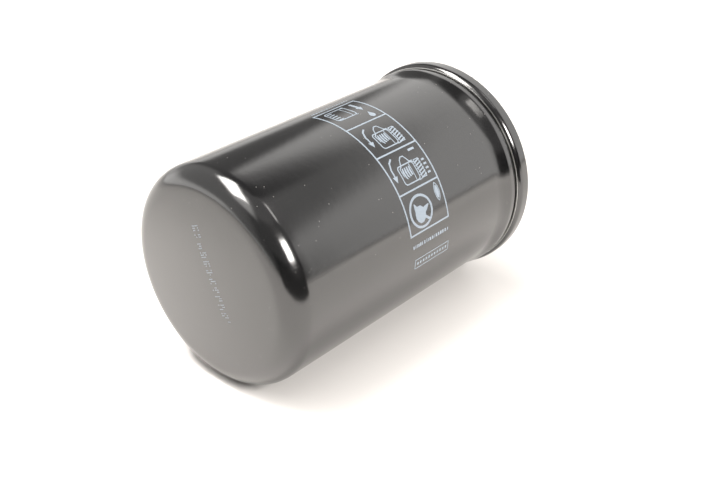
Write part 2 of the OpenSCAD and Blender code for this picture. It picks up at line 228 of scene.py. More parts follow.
def solid(name, points, faces):
    """A mesh in metres from points in millimetres, with doubles merged and faces turned outwards."""
    mesh = bpy.data.meshes.new(name)
    mesh.from_pydata([Vector(p) * MM for p in points], [], faces)
    shape = bmesh.new()
    shape.from_mesh(mesh)
    bmesh.ops.remove_doubles(shape, verts=shape.verts, dist=1e-7)
    bmesh.ops.dissolve_degenerate(shape, edges=shape.edges, dist=1e-8)
    bmesh.ops.recalc_face_normals(shape, faces=shape.faces)
    shape.to_mesh(mesh)
    shape.free()
    return mesh


def turned(name, outline, around=AROUND):
    """A closed solid of revolution about the filter's axis."""
    points, rings = [], []
    for radius, x in outline:
        if radius < 1e-6:
            rings.append([len(points)] * around)
            points.append((x, 0, 0))
        else:
            rings.append(list(range(len(points), len(points) + around)))
            for k in range(around):
                a = math.tau * k / around
                points.append((x, -radius * math.sin(a), radius * math.cos(a)))
    faces = []
    for i, ring in enumerate(rings):
        on = rings[(i + 1) % len(rings)]
        for k in range(around):
            n = (k + 1) % around
            corners = list(dict.fromkeys((ring[k], ring[n], on[n], on[k])))
            if len(corners) > 2:
                faces.append(corners)
    return solid(name, points, faces)


def stand(name, data):
    """A new object in the scene."""
    made = bpy.data.objects.new(name, data)
    bpy.context.scene.collection.objects.link(made)
    return made


def place(name, mesh, body, surface, node=None, sharp=32):
    """A finished piece: smooth shaded, on its CAD body or bodies, standing for its CAD node."""
    if not mesh.materials:
        mesh.materials.append(finish(surface))
    mesh.polygons.foreach_set("use_smooth", [True] * len(mesh.polygons))
    mesh.set_sharp_from_angle(angle=math.radians(sharp))
    piece = stand(name, mesh)
    if isinstance(body, str):
        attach(piece, body)
    else:
        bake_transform(piece)
    if node:
        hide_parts(node)
    return piece


def spin(name, outline, body, surface, node, around=AROUND):
    """A finished piece that is turned from its outline."""
    return place(name, turned(name, outline, around), body, surface, node)


class InMillimetres:
    """A group's sizes, with the lengths in millimetres."""

    def __init__(self, sizes):
        for key in sizes.__annotations__:
            value = getattr(sizes, key)
            setattr(self, key, value / MM if isinstance(value, float) else value)


def reach(node):
    """A CAD node's two ends along the axis and its outer radius, in millimetres."""
    low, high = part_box(node)
    return low.x / MM, high.x / MM, high.z / MM


# Geometry Nodes: what repeats or follows a rule


class Nodes:
    """A node tree, built step by step."""

    def __init__(self, tree):
        self.tree = tree

    def join(self, value, socket):
        """Links the value to the socket, or sets it there."""
        if isinstance(value, bpy.types.NodeSocket):
            self.tree.links.new(value, socket)
        else:
            socket.default_value = value

    def node(self, kind, settings=None, **inputs):
        """A node with its settings. Its inputs go by name, with _ for a space, or by place, as i0."""
        made = self.tree.nodes.new(kind)
        for key, value in (settings or {}).items():
            setattr(made, key, value)
        for key, value in inputs.items():
            by_place = key[0] == "i" and key[1:].isdigit()
            self.join(value, made.inputs[int(key[1:]) if by_place else key.replace("_", " ")])
        return made

    def first(self, kind, settings=None, **inputs):
        """The first output of such a node."""
        return self.node(kind, settings, **inputs).outputs[0]

    def sum(self, operation, a, b=0.0, c=None):
        """The result of one piece of arithmetic."""
        third = {} if c is None else {"i2": c}
        return self.first("ShaderNodeMath", {"operation": operation}, i0=a, i1=b, **third)

    def vector(self, **parts):
        """A vector from its X, Y and Z."""
        return self.first("ShaderNodeCombineXYZ", **parts)

    def parts(self, vector):
        """The X, Y and Z of a vector."""
        return self.node("ShaderNodeSeparateXYZ", Vector=vector).outputs

    def band(self, value, low, high, to_low=0.0, to_high=1.0, smooth=False):
        """The value mapped from one range to another, held at the ends."""
        made = self.node(
            "ShaderNodeMapRange", {"interpolation_type": "SMOOTHSTEP"} if smooth else None, Value=value)
        for key, end in (("From Min", low), ("From Max", high), ("To Min", to_low), ("To Max", to_high)):
            made.inputs[key].default_value = end
        return made.outputs[0]


class Tree(Nodes):
    """A Geometry Nodes tree with named inputs."""

    def __init__(self, name, **sizes):
        super().__init__(bpy.data.node_groups.new(name, "GeometryNodeTree"))
        face = self.tree.interface
        face.new_socket("Geometry", in_out="OUTPUT", socket_type="NodeSocketGeometry")
        face.new_socket("Geometry", in_out="INPUT", socket_type="NodeSocketGeometry")
        self.values = sizes
        for key, value in sizes.items():
            kind = "NodeSocketInt" if isinstance(value, int) else "NodeSocketFloat"
            face.new_socket(key, in_out="INPUT", socket_type=kind)
        self.given = self.node("NodeGroupInput").outputs
        self.end = self.node("NodeGroupOutput").inputs[0]

    def geo(self, kind, settings=None, **inputs):
        """The first output of a node that makes or changes geometry."""
        return self.first("GeometryNode" + kind, settings, **inputs)

    def copies(self, points, shape, **more):
        """The shape set on each of the points."""
        return self.geo("InstanceOnPoints", Points=points, Instance=shape, **more)

    def cut(self, shapes, material):
        """Ends the tree: the shapes are made real and cut away from the mesh that it was given."""
        made = self.node(
            "GeometryNodeMeshBoolean", {"operation": "DIFFERENCE", "solver": "EXACT"},
            Mesh_1=self.given["Geometry"])
        self.join(self.geo("RealizeInstances", Geometry=shapes), made.inputs["Mesh 2"])
        self.finish(made.outputs[0], material)

    def finish(self, geometry, material):
        """Ends the tree: instances made real, and the finish set."""
        real = self.geo("RealizeInstances", Geometry=geometry)
        self.join(self.geo("SetMaterial", Geometry=real, Material=material), self.end)

    def bake(self, name, start=None):
        """The tree's result as a plain mesh."""
        holder = stand(name + "_work", start or bpy.data.meshes.new(name))
        modifier = holder.modifiers.new("Rule", "NODES")
        modifier.node_group = self.tree
        for item in self.tree.interface.items_tree:
            if item.in_out == "INPUT" and item.name in self.values:
                modifier[item.identifier] = self.values[item.name]
        graph = bpy.context.evaluated_depsgraph_get()
        mesh = bpy.data.meshes.new_from_object(
            holder.evaluated_get(graph), preserve_all_data_layers=True, depsgraph=graph)
        bpy.data.objects.remove(holder)
        if not mesh.polygons:
            raise RuntimeError(f"{name}: the Geometry Nodes tree made no faces")
        mesh.name = name
        finishes = [m for m in mesh.materials if m]
        mesh.materials.clear()
        mesh.materials.append(finishes[-1])
        mesh.polygons.foreach_set("material_index", [0] * len(mesh.polygons))
        return mesh


def on_axis(tree, geometry, x):
    """Turns what was made about Z to lie about the filter's axis, X, and moves it to x."""
    at = tree.vector(X=x)
    return tree.geo("Transform", Geometry=geometry, Translation=at, Rotation=(0, math.radians(90), 0))


def wire_coil(
        name, material, start_x, end_x, start_radius, end_radius, turns, wire, flat=0.5, sides=12, per_turn=40):
    """A coil of wire about the filter's axis, with closed flat ends of a given number of turns."""
    tree = Tree(name, **{
        "Start": start_x * MM, "End": end_x * MM, "Start radius": start_radius * MM,
        "End radius": end_radius * MM, "Turns": float(turns), "Wire radius": wire * MM,
        "Flat turns": float(flat), "Points": int(turns * per_turn) + 1, "Sides": sides})
    g = tree.given
    line = tree.geo("CurvePrimitiveLine")
    line = tree.geo("ResampleCurve", Curve=line, Count=g["Points"])
    share = tree.node("GeometryNodeSplineParameter").outputs["Factor"]
    rest = tree.sum("DIVIDE", g["Flat turns"], g["Turns"])
    free = tree.sum("SUBTRACT", 1.0, tree.sum("MULTIPLY", rest, 2.0))
    rise = tree.first("ShaderNodeClamp", Value=tree.sum("DIVIDE", tree.sum("SUBTRACT", share, rest), free))
    span = tree.sum("SUBTRACT", g["End"], g["Start"])
    height = tree.sum("MULTIPLY_ADD", rise, span, g["Start"])
    wider = tree.sum("SUBTRACT", g["End radius"], g["Start radius"])
    radius = tree.sum("MULTIPLY_ADD", share, wider, g["Start radius"])
    angle = tree.sum("MULTIPLY", tree.sum("MULTIPLY", share, g["Turns"]), math.tau)
    at = tree.node(
        "ShaderNodeCombineXYZ",
        X=tree.sum("MULTIPLY", radius, tree.sum("COSINE", angle)),
        Y=tree.sum("MULTIPLY", radius, tree.sum("SINE", angle)), Z=height).outputs[0]
    coil = tree.geo("SetPosition", Geometry=line, Position=at)
    upright = tree.geo("SetCurveNormal", {"mode": "Z_UP"}, Curve=coil)
    section = tree.geo("CurvePrimitiveCircle", Resolution=g["Sides"], Radius=g["Wire radius"])
    solid_wire = tree.geo("CurveToMesh", Curve=upright, Profile_Curve=section, Fill_Caps=True)
    tree.finish(on_axis(tree, solid_wire, 0.0), material)
    return tree.bake(name)


def punched(name, mesh, material, count, ring, width, low, high, start=0.0):
    """The mesh with a circle of round holes punched through it along the axis."""
    tree = Tree(name, **{
        "Holes": count, "Ring radius": ring * MM, "Hole width": width * MM,
        "Low": low * MM, "High": high * MM, "First angle": start})
    g = tree.given
    circle = tree.geo("MeshCircle", Vertices=g["Holes"], Radius=g["Ring radius"])
    depth = tree.sum("SUBTRACT", g["High"], g["Low"])
    punch = tree.geo(
        "MeshCylinder", Vertices=40, Depth=depth, Radius=tree.sum("MULTIPLY", g["Hole width"], 0.5))
    many = tree.copies(circle, punch)
    middle = tree.sum("MULTIPLY", tree.sum("ADD", g["Low"], g["High"]), 0.5)
    turn = tree.vector(Z=g["First angle"])
    many = tree.geo("Transform", Geometry=many, Rotation=turn)
    many = tree.geo("RealizeInstances", Geometry=many)
    tree.cut(on_axis(tree, many, middle), material)
    return tree.bake(name, mesh)


# Finishes


class Finish(Nodes):
    """A procedural surface. Its patterns read the piece's own coordinates, in metres."""

    def __init__(self, name, base, rough, metal=0.0, **sockets):
        self.material = bpy.data.materials.new(name)
        self.material.use_nodes = True
        super().__init__(self.material.node_tree)
        self.shader = self.tree.nodes["Principled BSDF"]
        self.base = (*base, 1.0)
        self.set("Base Color", self.base)
        self.set("Roughness", rough)
        self.set("Metallic", metal)
        for key, value in sockets.items():
            self.set(key.replace("_", " "), value)
        self.spot = self.node("ShaderNodeTexCoord").outputs["Object"]

    def set(self, socket, value):
        """Sets or joins one of the shader's own sockets."""
        self.join(value, self.shader.inputs[socket])

    def around(self):
        """Coordinates that follow the round surface: along the axis, round it, and out from it."""
        part = self.parts(self.spot)
        angle = self.sum("ARCTAN2", part["Y"], part["Z"])
        out = self.sum(
            "SQRT", self.sum("ADD", self.sum("POWER", part["Y"], 2.0), self.sum("POWER", part["Z"], 2.0)))
        return self.vector(X=part["X"], Y=angle, Z=out)

    def noise(self, scale, detail=3.0, rough=0.55, stretch=None, where=None):
        at = where or self.spot
        if stretch:
            at = self.first("ShaderNodeMapping", Vector=at, Scale=stretch)
        return self.first("ShaderNodeTexNoise", Vector=at, Scale=scale, Detail=detail, Roughness=rough)

    def cells(self, scale, feature="F1"):
        return self.node("ShaderNodeTexVoronoi", {"feature": feature}, Vector=self.spot, Scale=scale)

    def mix(self, share, first, second):
        """One colour into another."""
        made = self.node("ShaderNodeMix", {"data_type": "RGBA"})
        self.join(share, made.inputs[0])
        for place_in, tone in ((6, first), (7, second)):
            plain = not isinstance(tone, bpy.types.NodeSocket)
            self.join((*tone[:3], 1.0) if plain else tone, made.inputs[place_in])
        return made.outputs[2]

    def shade(self, factor):
        """The base colour, darker or lighter."""
        return tuple(min(1.0, c * factor) for c in self.base[:3])

    def bumps(self, *layers):
        """Relief from layers of (height, depth in metres)."""
        normal = None
        for height, depth in layers:
            made = self.node("ShaderNodeBump", Height=height, Distance=depth, Strength=1.0)
            if normal:
                self.join(normal, made.inputs["Normal"])
            normal = made.outputs[0]
        self.set("Normal", normal)


def enamel(name, can):
    """Gloss black stoving enamel: orange peel, wipe marks, fine scratches and a little dust."""
    f = Finish(name, can.paint, 0.1, IOR=1.9)
    peel = f.noise(420.0, 2.0, 0.5)
    wipe = f.band(f.noise(38.0, 4.0, 0.6), 0.42, 0.72)
    hair = f.noise(900.0, 2.0, 0.4, stretch=(0.06, 1.6, 1.6))
    scratch = f.band(hair, 0.66, 0.72)
    speck = f.cells(900.0)
    few = f.band(f.first("ShaderNodeSeparateColor", Color=speck.outputs["Color"]), 0.93, 0.97)
    dust = f.sum("MULTIPLY", f.band(speck.outputs["Distance"], 0.16, 0.1), few)
    f.set("Base Color", f.mix(f.sum("MULTIPLY", dust, 0.35), f.base, (0.5, 0.48, 0.45)))
    rough = f.sum("MULTIPLY_ADD", wipe, 0.04, 0.14)
    rough = f.sum("MULTIPLY_ADD", scratch, 0.05, rough)
    f.set("Roughness", f.sum("MULTIPLY_ADD", dust, 0.3, rough))
    f.bumps((peel, 0.000012), (scratch, 0.0000015))
    return f.material


def steel(name, base, rough, ring=0.5, grain=900.0, depth=0.000006, stain=0.25):
    """Bare or plated sheet steel: fine drawing lines round the axis, a mottled film and a few stains."""
    f = Finish(name, base, rough, 1.0)
    lines = f.noise(1.0, 3.0, 0.6, stretch=(grain, 6.0, grain), where=f.around())
    mottle = f.noise(160.0, 4.0, 0.65)
    film = f.band(f.noise(30.0, 3.0, 0.6), 0.35, 0.7)
    tone = f.mix(f.sum("MULTIPLY", film, stain), f.shade(1.06), f.shade(0.62))
    f.set("Base Color", f.mix(f.band(mottle, 0.3, 0.75, 0.0, 0.35), tone, f.shade(0.8)))
    worn = f.sum("MULTIPLY_ADD", f.band(lines, 0.3, 0.7), 0.12 * ring, rough)
    f.set("Roughness", f.sum("MULTIPLY_ADD", mottle, 0.12, worn))
    f.bumps((lines, depth * ring), (mottle, depth * 0.5))
    return f.material


def rubber(name, base, rough, pores=1400.0):
    """Moulded or lathe-cut rubber: pores, faint tool lines and a pale bloom in places."""
    f = Finish(name, base, rough)
    grain = f.noise(pores, 4.0, 0.6)
    lines = f.noise(1.0, 2.0, 0.5, stretch=(2600.0, 3.0, 2600.0), where=f.around())
    bloom = f.band(f.noise(55.0, 5.0, 0.7), 0.5, 0.78)
    pale = tuple(min(1.0, c * 1.25 + 0.02) for c in base)
    f.set("Base Color", f.mix(f.sum("MULTIPLY", bloom, 0.5), f.base, pale))
    f.set("Roughness", f.band(grain, 0.3, 0.7, rough - 0.08, rough + 0.1))
    f.bumps((grain, 0.00002), (lines, 0.000012))
    return f.material


def printing_ink(name, can):
    """Pale screen ink: slightly uneven cover with a soft gloss."""
    f = Finish(name, can.ink, 0.38)
    cover = f.noise(700.0, 4.0, 0.65)
    worn = f.band(f.noise(2600.0, 3.0, 0.7), 0.58, 0.74)
    f.set(
        "Base Color",
        f.mix(f.sum("MULTIPLY", worn, 0.35), f.mix(cover, f.shade(0.86), f.shade(1.1)), f.shade(0.35)))
    f.set("Roughness", f.band(cover, 0.3, 0.7, 0.3, 0.46))
    f.bumps((cover, 0.000008))
    return f.material


def filter_paper(name, element):
    """Resin-cured paper: felted fibres, small dimples and uneven resin."""
    f = Finish(name, element.paper_colour, 0.82)
    fibres = f.noise(1500.0, 6.0, 0.7, stretch=(0.35, 1.0, 1.0))
    dimples = f.cells(420.0, "SMOOTH_F1").outputs["Distance"]
    resin = f.noise(60.0, 4.0, 0.6)
    tone = f.mix(f.band(resin, 0.35, 0.7), f.shade(1.12), f.shade(0.72))
    f.set("Base Color", f.mix(f.band(fibres, 0.35, 0.7), tone, f.shade(0.85)))
    f.set("Roughness", f.band(fibres, 0.3, 0.7, 0.74, 0.9))
    f.bumps((fibres, 0.00004), (dimples, 0.00008))
    return f.material


def cured_paste(name, base, rough=0.5):
    """Plastisol or sealing compound that set in its groove: soft lumps and small bubbles."""
    f = Finish(name, base, rough)
    lumps = f.noise(320.0, 3.0, 0.5)
    bubbles = f.band(f.cells(1100.0).outputs["Distance"], 0.12, 0.3)
    f.set("Base Color", f.mix(lumps, f.shade(0.8), f.shade(1.15)))
    f.set("Roughness", f.band(lumps, 0.3, 0.7, rough - 0.1, rough + 0.12))
    f.bumps((lumps, 0.00012), (bubbles, 0.00002))
    return f.material


def finish(name):
    """The named finish, made once."""
    made = bpy.data.materials.get(name)
    if made:
        return made
    scene = bpy.context.scene
    can, mount, element = scene.filter_can, scene.filter_mount, scene.filter_element
    maker, *details = {
        "black_enamel": (enamel, can),
        "drawn_steel": (steel, (0.5, 0.49, 0.48), 0.34, 0.6),
        "screen_ink": (printing_ink, can),
        "zinc_lid": (steel, can.zinc, 0.3, 0.7, 1300.0),
        "pressed_steel": (steel, mount.steel, 0.36, 1.0, 1500.0, 0.00001, 0.5),
        "weld_steel": (steel, (0.34, 0.3, 0.28), 0.42, 0.3, 700.0, 0.00001, 0.8),
        "nitrile": (rubber, mount.nitrile, 0.5),
        "silicone": (rubber, mount.silicone, 0.45, 900.0),
        "tinplate": (steel, element.tin, 0.24, 0.5, 1000.0, 0.000004),
        "tube_steel": (steel, element.tube_colour, 0.3, 0.8, 800.0),
        "passivated": (steel, element.yellow, 0.28, 0.5, 900.0, 0.000005, 0.4),
        "spring_wire": (steel, element.wire, 0.32, 0.3, 600.0),
        "resin_paper": (filter_paper, element),
        "plastisol": (cured_paste, element.glue),
        "seam_compound": (cured_paste, (0.23, 0.35, 0.27), 0.55),
    }[name]
    return maker(name, *details)


# The can and its printing


def dome_line(can):
    """The middle of the can's sheet from the axis over the crown and round the corner."""
    crown, corner = can.crown - can.sheet / 2, can.corner - can.sheet / 2
    corner_at = can.radius - can.corner
    sphere_x = can.dome_x + can.crown
    edge = math.asin(corner_at / (crown - corner))
    corner_x = sphere_x - (crown - corner) * math.cos(edge)
    crown_steps, corner_steps = 20, 16
    line = []
    for i in range(crown_steps + 1):
        a = edge * i / crown_steps
        line.append(Vector((crown * math.sin(a), sphere_x - crown * math.cos(a))))
    for i in range(1, corner_steps + 1):
        a = edge + (math.pi / 2 - edge) * i / corner_steps
        line.append(Vector((corner_at + corner * math.sin(a), corner_x - corner * math.cos(a))))
    return line


def painted(mesh, test):
    """Gives the second finish to the faces that pass the test of their middle, in millimetres, and normal."""
    for face in mesh.polygons:
        face.material_index = int(test(face.center / MM, face.normal))


class FILTER_OT_can(bpy.types.Operator):
    """Draws the can: shallow dome, round corner, plain wall, widened mouth and the fold in the seam"""
    bl_idname = "oil_filter.can"
    bl_label = "Can"

    def execute(self, context):
        can = InMillimetres(context.scene.filter_can)
        sheet, top, foot = can.sheet, can.seam_x, can.seam_x - can.seam_height
        wall = can.radius - sheet / 2
        hook = can.seam_radius - can.lid_sheet
        under = hook - 2 * sheet - can.lid_sheet + sheet / 2
        bead_x = foot - 1.7
        fold_x = top - can.lid_sheet - sheet / 2
        flare = 1.1  # how far the mouth is widened
        mouth = rounded([
            (wall, can.dome_x + can.corner + 4),
            (wall, bead_x - 6.7, 20),
            (wall + flare, bead_x - 1.9, 4),
            (wall + flare, bead_x, 0.9),
            (under, bead_x + 0.8, 0.6),
            (under, fold_x, 0.3),
            (hook - sheet / 2, fold_x, 0.75),
            (hook - sheet / 2, foot + 2.3)], 8)
        mesh = turned("can_shell", sheet_outline(dome_line(can) + mouth, sheet))
        shell = place("can_shell", mesh, "housing", "black_enamel", "can")
        mesh.materials.append(finish("drawn_steel"))
        on_dome = can.dome_x + 1.5

        def inward(spot, normal):
            if spot.x <= on_dome:
                return normal.x > 0.02
            return normal.dot(Vector((0, spot.y, spot.z)).normalized()) < -0.02

        painted(mesh, inward)
        shell.data.update()
        return {"FINISHED"}


class FILTER_OT_seaming_lid(bpy.types.Operator):
    """Presses the lid with its gasket channel and rolls its edge round the mouth of the can"""
    bl_idname = "oil_filter.seaming_lid"
    bl_label = "Seaming lid"

    def execute(self, context):
        can, mount = InMillimetres(context.scene.filter_can), InMillimetres(context.scene.filter_mount)
        t, top, seam = can.lid_sheet, can.seam_x, can.seam_radius
        h = t / 2
        cover = seam - t - can.sheet
        chuck = cover - t - can.sheet
        face, channel = t, GASKET_LOW.x / MM
        inner, outer = mount.gasket_inner, mount.gasket_outer
        foot, cut, tight = top - can.seam_height, top - 2.2, 0.3
        wide = tight + t
        engine_side = [
            (LID_HOLE, face), (inner, face, wide), (inner, channel, tight), (outer, channel, tight),
            (outer, face + h, wide), (chuck - t, face + h, tight), (chuck - t, top, 1.1),
            (seam, top, 1.6), (seam, foot + 1.3, 2.6), (cover - 0.1, foot, 0.35), (cover - t, foot + 0.2, 0.2),
            (cover - t, cut), (cover, cut)]
        oil_side = [
            (cover, foot + 1.0, 0.2), (seam - t, foot + 1.8, 0.4), (seam - t, top - t, 1.0),
            (chuck, top - t, 0.5), (chuck, face - h, wide), (outer + t, face - h, tight),
            (outer + t, channel - t, wide), (inner - t, channel - t, wide), (inner - t, face - t, tight),
            (LID_HOLE, face - t)]
        mesh = turned("lid_shell", rounded(engine_side + oil_side, 8))
        mesh = punched(
            "lid_shell", mesh, finish("zinc_lid"), mount.welds, mount.weld_ring, mount.weld_width, -1.0,
            t + 1.0, math.pi / mount.welds)
        mesh.materials.append(finish("black_enamel"))

        def rolled(spot, normal):
            out = math.hypot(spot.y, spot.z)
            return out > cover + 0.15 or (out > chuck and spot.x > top - 0.5)

        painted(mesh, rolled)
        place("lid_shell", mesh, "housing", "zinc_lid", "seaming_lid")
        return {"FINISHED"}


class FILTER_OT_seam_compound(bpy.types.Operator):
    """Lays the bead of sealing compound in the fold of the seam"""
    bl_idname = "oil_filter.seam_compound"
    bl_label = "Sealing compound"

    def execute(self, context):
        low, high, outer = reach("seam_sealant")
        outline = ring_outline(outer - 0.5, outer, low, high, 0.2)
        spin("seam_compound", outline, "housing", "seam_compound", "seam_sealant")
        return {"FINISHED"}


# The printed frame: its ends along the can, and its lines round the can
FRAME_X = (-63.7, -43.8)
FRAME_ROWS = (-5.6, 9.3, 23.75, 38.0, 52.05)
INK_STEP = 0.8  # longest straight part of a stroke
INK_SINK = 0.02  # how far the film reaches into the paint


class Print:
    """Flat ink strokes drawn at (x, arc) in millimetres, then wrapped on the can as a raised film."""

    def __init__(self, radius, lift=0.03):
        self.low, self.high = radius - INK_SINK, radius + lift
        self.points, self.faces = [], []

    def wrap(self, p, radius):
        angle = p.y / (self.low + INK_SINK)
        return (p.x, -radius * math.sin(angle), radius * math.cos(angle))

    def stroke(self, points, width, closed=False):
        """A stroke of even width, or with one width for each point."""
        line, widths = [], []
        ends = list(points) + ([points[0]] if closed else [])
        wide = list(width) if isinstance(width, (list, tuple)) else [width] * len(points)
        wide += [wide[0]] if closed else []
        for (a, wa), (b, wb) in zip(zip(ends, wide), zip(ends[1:], wide[1:])):
            a, b = Vector(a), Vector(b)
            steps = max(1, math.ceil((b - a).length / INK_STEP))
            for i in range(steps):
                line.append(a.lerp(b, i / steps))
                widths.append(wa + (wb - wa) * i / steps)
        if not closed:
            line.append(Vector(ends[-1]))
            widths.append(wide[-1])
        left = self.sides(line, widths, 1, closed)
        right = self.sides(line, widths, -1, closed)
        start = len(self.points)
        for p, q in zip(left, right):
            self.points += [
                self.wrap(p, self.high), self.wrap(q, self.high), self.wrap(q, self.low),
                self.wrap(p, self.low)]
        count = len(line)
        for i in range(count if closed else count - 1):
            a, b = start + 4 * i, start + 4 * ((i + 1) % count)
            for k in range(4):
                n = (k + 1) % 4
                self.faces.append((a + k, a + n, b + n, b + k))
        if not closed:
            self.faces.append((start + 3, start + 2, start + 1, start))
            last = start + 4 * (count - 1)
            self.faces.append((last, last + 1, last + 2, last + 3))

    def sides(self, line, widths, sign, closed):
        unit = beside(line, sign, closed)
        return [p + (u - p) * (w / 2) for p, u, w in zip(line, unit, widths)]

    def arc(self, x, s, rx, rs, start, end, width, steps=24):
        angles = [math.radians(start + (end - start) * i / steps) for i in range(steps + 1)]
        self.stroke([(x + rx * math.cos(a), s + rs * math.sin(a)) for a in angles], width)

    def ring(self, x, s, rx, rs, width, steps=32):
        angles = [math.tau * i / steps for i in range(steps)]
        self.stroke([(x + rx * math.cos(a), s + rs * math.sin(a)) for a in angles], width, closed=True)

    def box(self, x0, x1, s0, s1, width, soft=0.0):
        if not soft:
            return self.stroke([(x0, s0), (x1, s0), (x1, s1), (x0, s1)], width, closed=True)
        self.stroke(ring_outline(x0, x1, s0, s1, soft, 4), width, closed=True)

    def bar(self, x0, x1, s0, s1):
        self.stroke([(x0, (s0 + s1) / 2), (x1, (s0 + s1) / 2)], s1 - s0)

    def arrow(self, points, width, head, reach):
        self.stroke(points, width)
        tip, before = Vector(points[-1]), Vector(points[-2])
        on = (tip - before).normalized() * reach
        self.stroke([tuple(tip), tuple(tip + on)], [head, 0.05])

    def mesh(self, name):
        return solid(name, self.points, self.faces)


def print_filter_outline(film, x0, x1, s0, s1):
    """A little filter lying on its side: body with a round end, and its seam."""
    film.box(x0, x1, s0, s1, 0.42, 1.1)
    film.bar(x1 - 0.75, x1 + 0.35, s0 - 0.35, s1 + 0.35)
    film.stroke([(x1 - 1.9, s0 + 0.3), (x1 - 1.9, s1 - 0.3)], 0.3)


def print_drop(film, x, s):
    """A drop of oil with its point up."""
    film.stroke([(x, s + up) for up in (-1.8, -0.9, 0, 0.7, 1.3, 1.6)], [0.1, 0.9, 2.0, 2.4, 1.7, 0.5])


def print_hand(film, x, s):
    """A hand laid over the little filter: wrist, thumb and four fingers."""
    film.stroke(
        [(x + 0.9, s - 4.0), (x - 0.2, s - 3.0), (x - 1.2, s - 0.9), (x - 2.2, s - 0.2), (x - 2.1, s + 2.6)],
        0.4)
    film.stroke([(x + 0.9, s - 4.0), (x + 2.2, s - 3.9), (x + 3.4, s - 1.6), (x + 5.2, s - 0.6)], 0.4)
    for k in range(4):
        at = x - 1.5 + 1.05 * k
        film.stroke(
            [(at + 0.3, s - 0.2), (at, s + 1.2), (at + 0.1, s + 2.8), (at + 0.5, s + 3.7 - 0.25 * k)],
            [0.5, 0.75, 0.6, 0.4])


def print_hatching(film, x0, x1, s0, s1):
    """A hatched block for the engine's face."""
    film.box(x0, x1, s0, s1, 0.3)
    for k in range(6):
        s = s0 + (s1 - s0) * (k + 0.15) / 6
        film.stroke([(x0 - 0.5, s + 1.0), (x1 + 0.4, s + 0.1)], 0.5)


class FILTER_OT_printing(bpy.types.Operator):
    """Prints the panel of fitting pictures on the wall and the dotted mark on the dome"""
    bl_idname = "oil_filter.printing"
    bl_label = "Printing"

    def execute(self, context):
        can = context.scene.filter_can
        film = Print(can.radius / MM)
        left, right = FRAME_X
        film.box(left, right, FRAME_ROWS[0], FRAME_ROWS[-1], 0.58)
        for row in FRAME_ROWS[1:-1]:
            film.stroke([(left, row), (right, row)], 0.55)
        # first picture: oil the gasket
        print_filter_outline(film, -60.75, -51.6, -3.7, 3.5)
        for k in range(5):
            film.bar(-60.2, -57.9, -2.9 + 1.4 * k, -2.4 + 1.4 * k)
        film.arrow([(-48.0, -3.7), (-48.0, -2.0), (-48.0, 0.4)], 1.1, 2.5, 2.4)
        print_drop(film, -48.0, 6.5)
        # second and third pictures: spin it on, then turn it by hand
        for x, s in ((0.0, 0.0), (-0.9, 14.1)):
            print_filter_outline(film, -57.8 + x, -50.2 + x, 15.2 + s, 21.8 + s)
            print_hand(film, -54.6 + x, 16.4 + s)
            film.arrow(
                [(-57.8 + x, 11.7 + s), (-59.4 + x, 12.8 + s), (-60.4 + x, 15.0 + s), (-60.5 + x, 17.6 + s)],
                0.6, 2.2, 2.2)
            print_hatching(film, -49.3 + x * 0.9, -47.2 + x * 0.9, 15.2 + s, 21.8 + s)
        film.bar(-49.6, -46.6, 25.2, 26.0)
        for k in range(4):
            film.bar(-46.9, -45.5, 30.1 + 1.55 * k, 30.8 + 1.55 * k)
        # fourth picture: no tool, and look for leaks
        film.ring(-56.4, 45.5, 5.3, 5.3, 0.85)
        film.stroke([(-57.0, s) for s in (43.6, 44.5, 45.8, 47.2, 48.5, 49.3)], [1.6, 3.6, 4.9, 5.0, 3.6, 1.4])
        film.stroke([(-55.6, 46.0), (-53.9, 45.2), (-52.3, 44.4)], [2.2, 1.6, 0.3])
        film.stroke([(-58.2, 45.0), (-58.6, 43.6), (-58.9, 42.4)], [2.2, 1.3, 0.3])
        film.stroke([(-54.9, 47.9), (-52.7, 49.6)], 0.9)
        film.arc(-47.6, 42.2, 2.2, 3.6, -62, 62, 0.32)
        film.arc(-45.4, 42.2, 2.2, 3.6, 118, 242, 0.32)
        film.stroke([(-46.5, s) for s in (40.0, 40.9, 42.2, 43.5, 44.4)], [0.5, 1.3, 1.7, 1.3, 0.5])
        # rows of plain dashes stand for small print
        strokes = random.Random(7)
        for s, x0, x1, tall in ((56.1, -63.1, -44.8, 1.25), (-8.1, -62.0, -44.5, 0.75)):
            x = x0
            while x < x1:
                long = strokes.uniform(0.35, 1.0)
                film.bar(x, min(x + long, x1 + 0.2), s - tall / 2 * strokes.uniform(0.7, 1.0), s + tall / 2)
                x += long + strokes.uniform(0.3, 0.6)
        film.box(-61.9, -44.2, 61.2, 64.6, 0.28)
        for k in range(11):
            film.bar(-60.9 + 1.5 * k, -60.15 + 1.5 * k, 62.4, 63.4)
        place("printed_panel", film.mesh("printed_panel"), "housing", "screen_ink")
        place("dome_mark", dome_mark(can), "housing", "screen_ink")
        return {"FINISHED"}


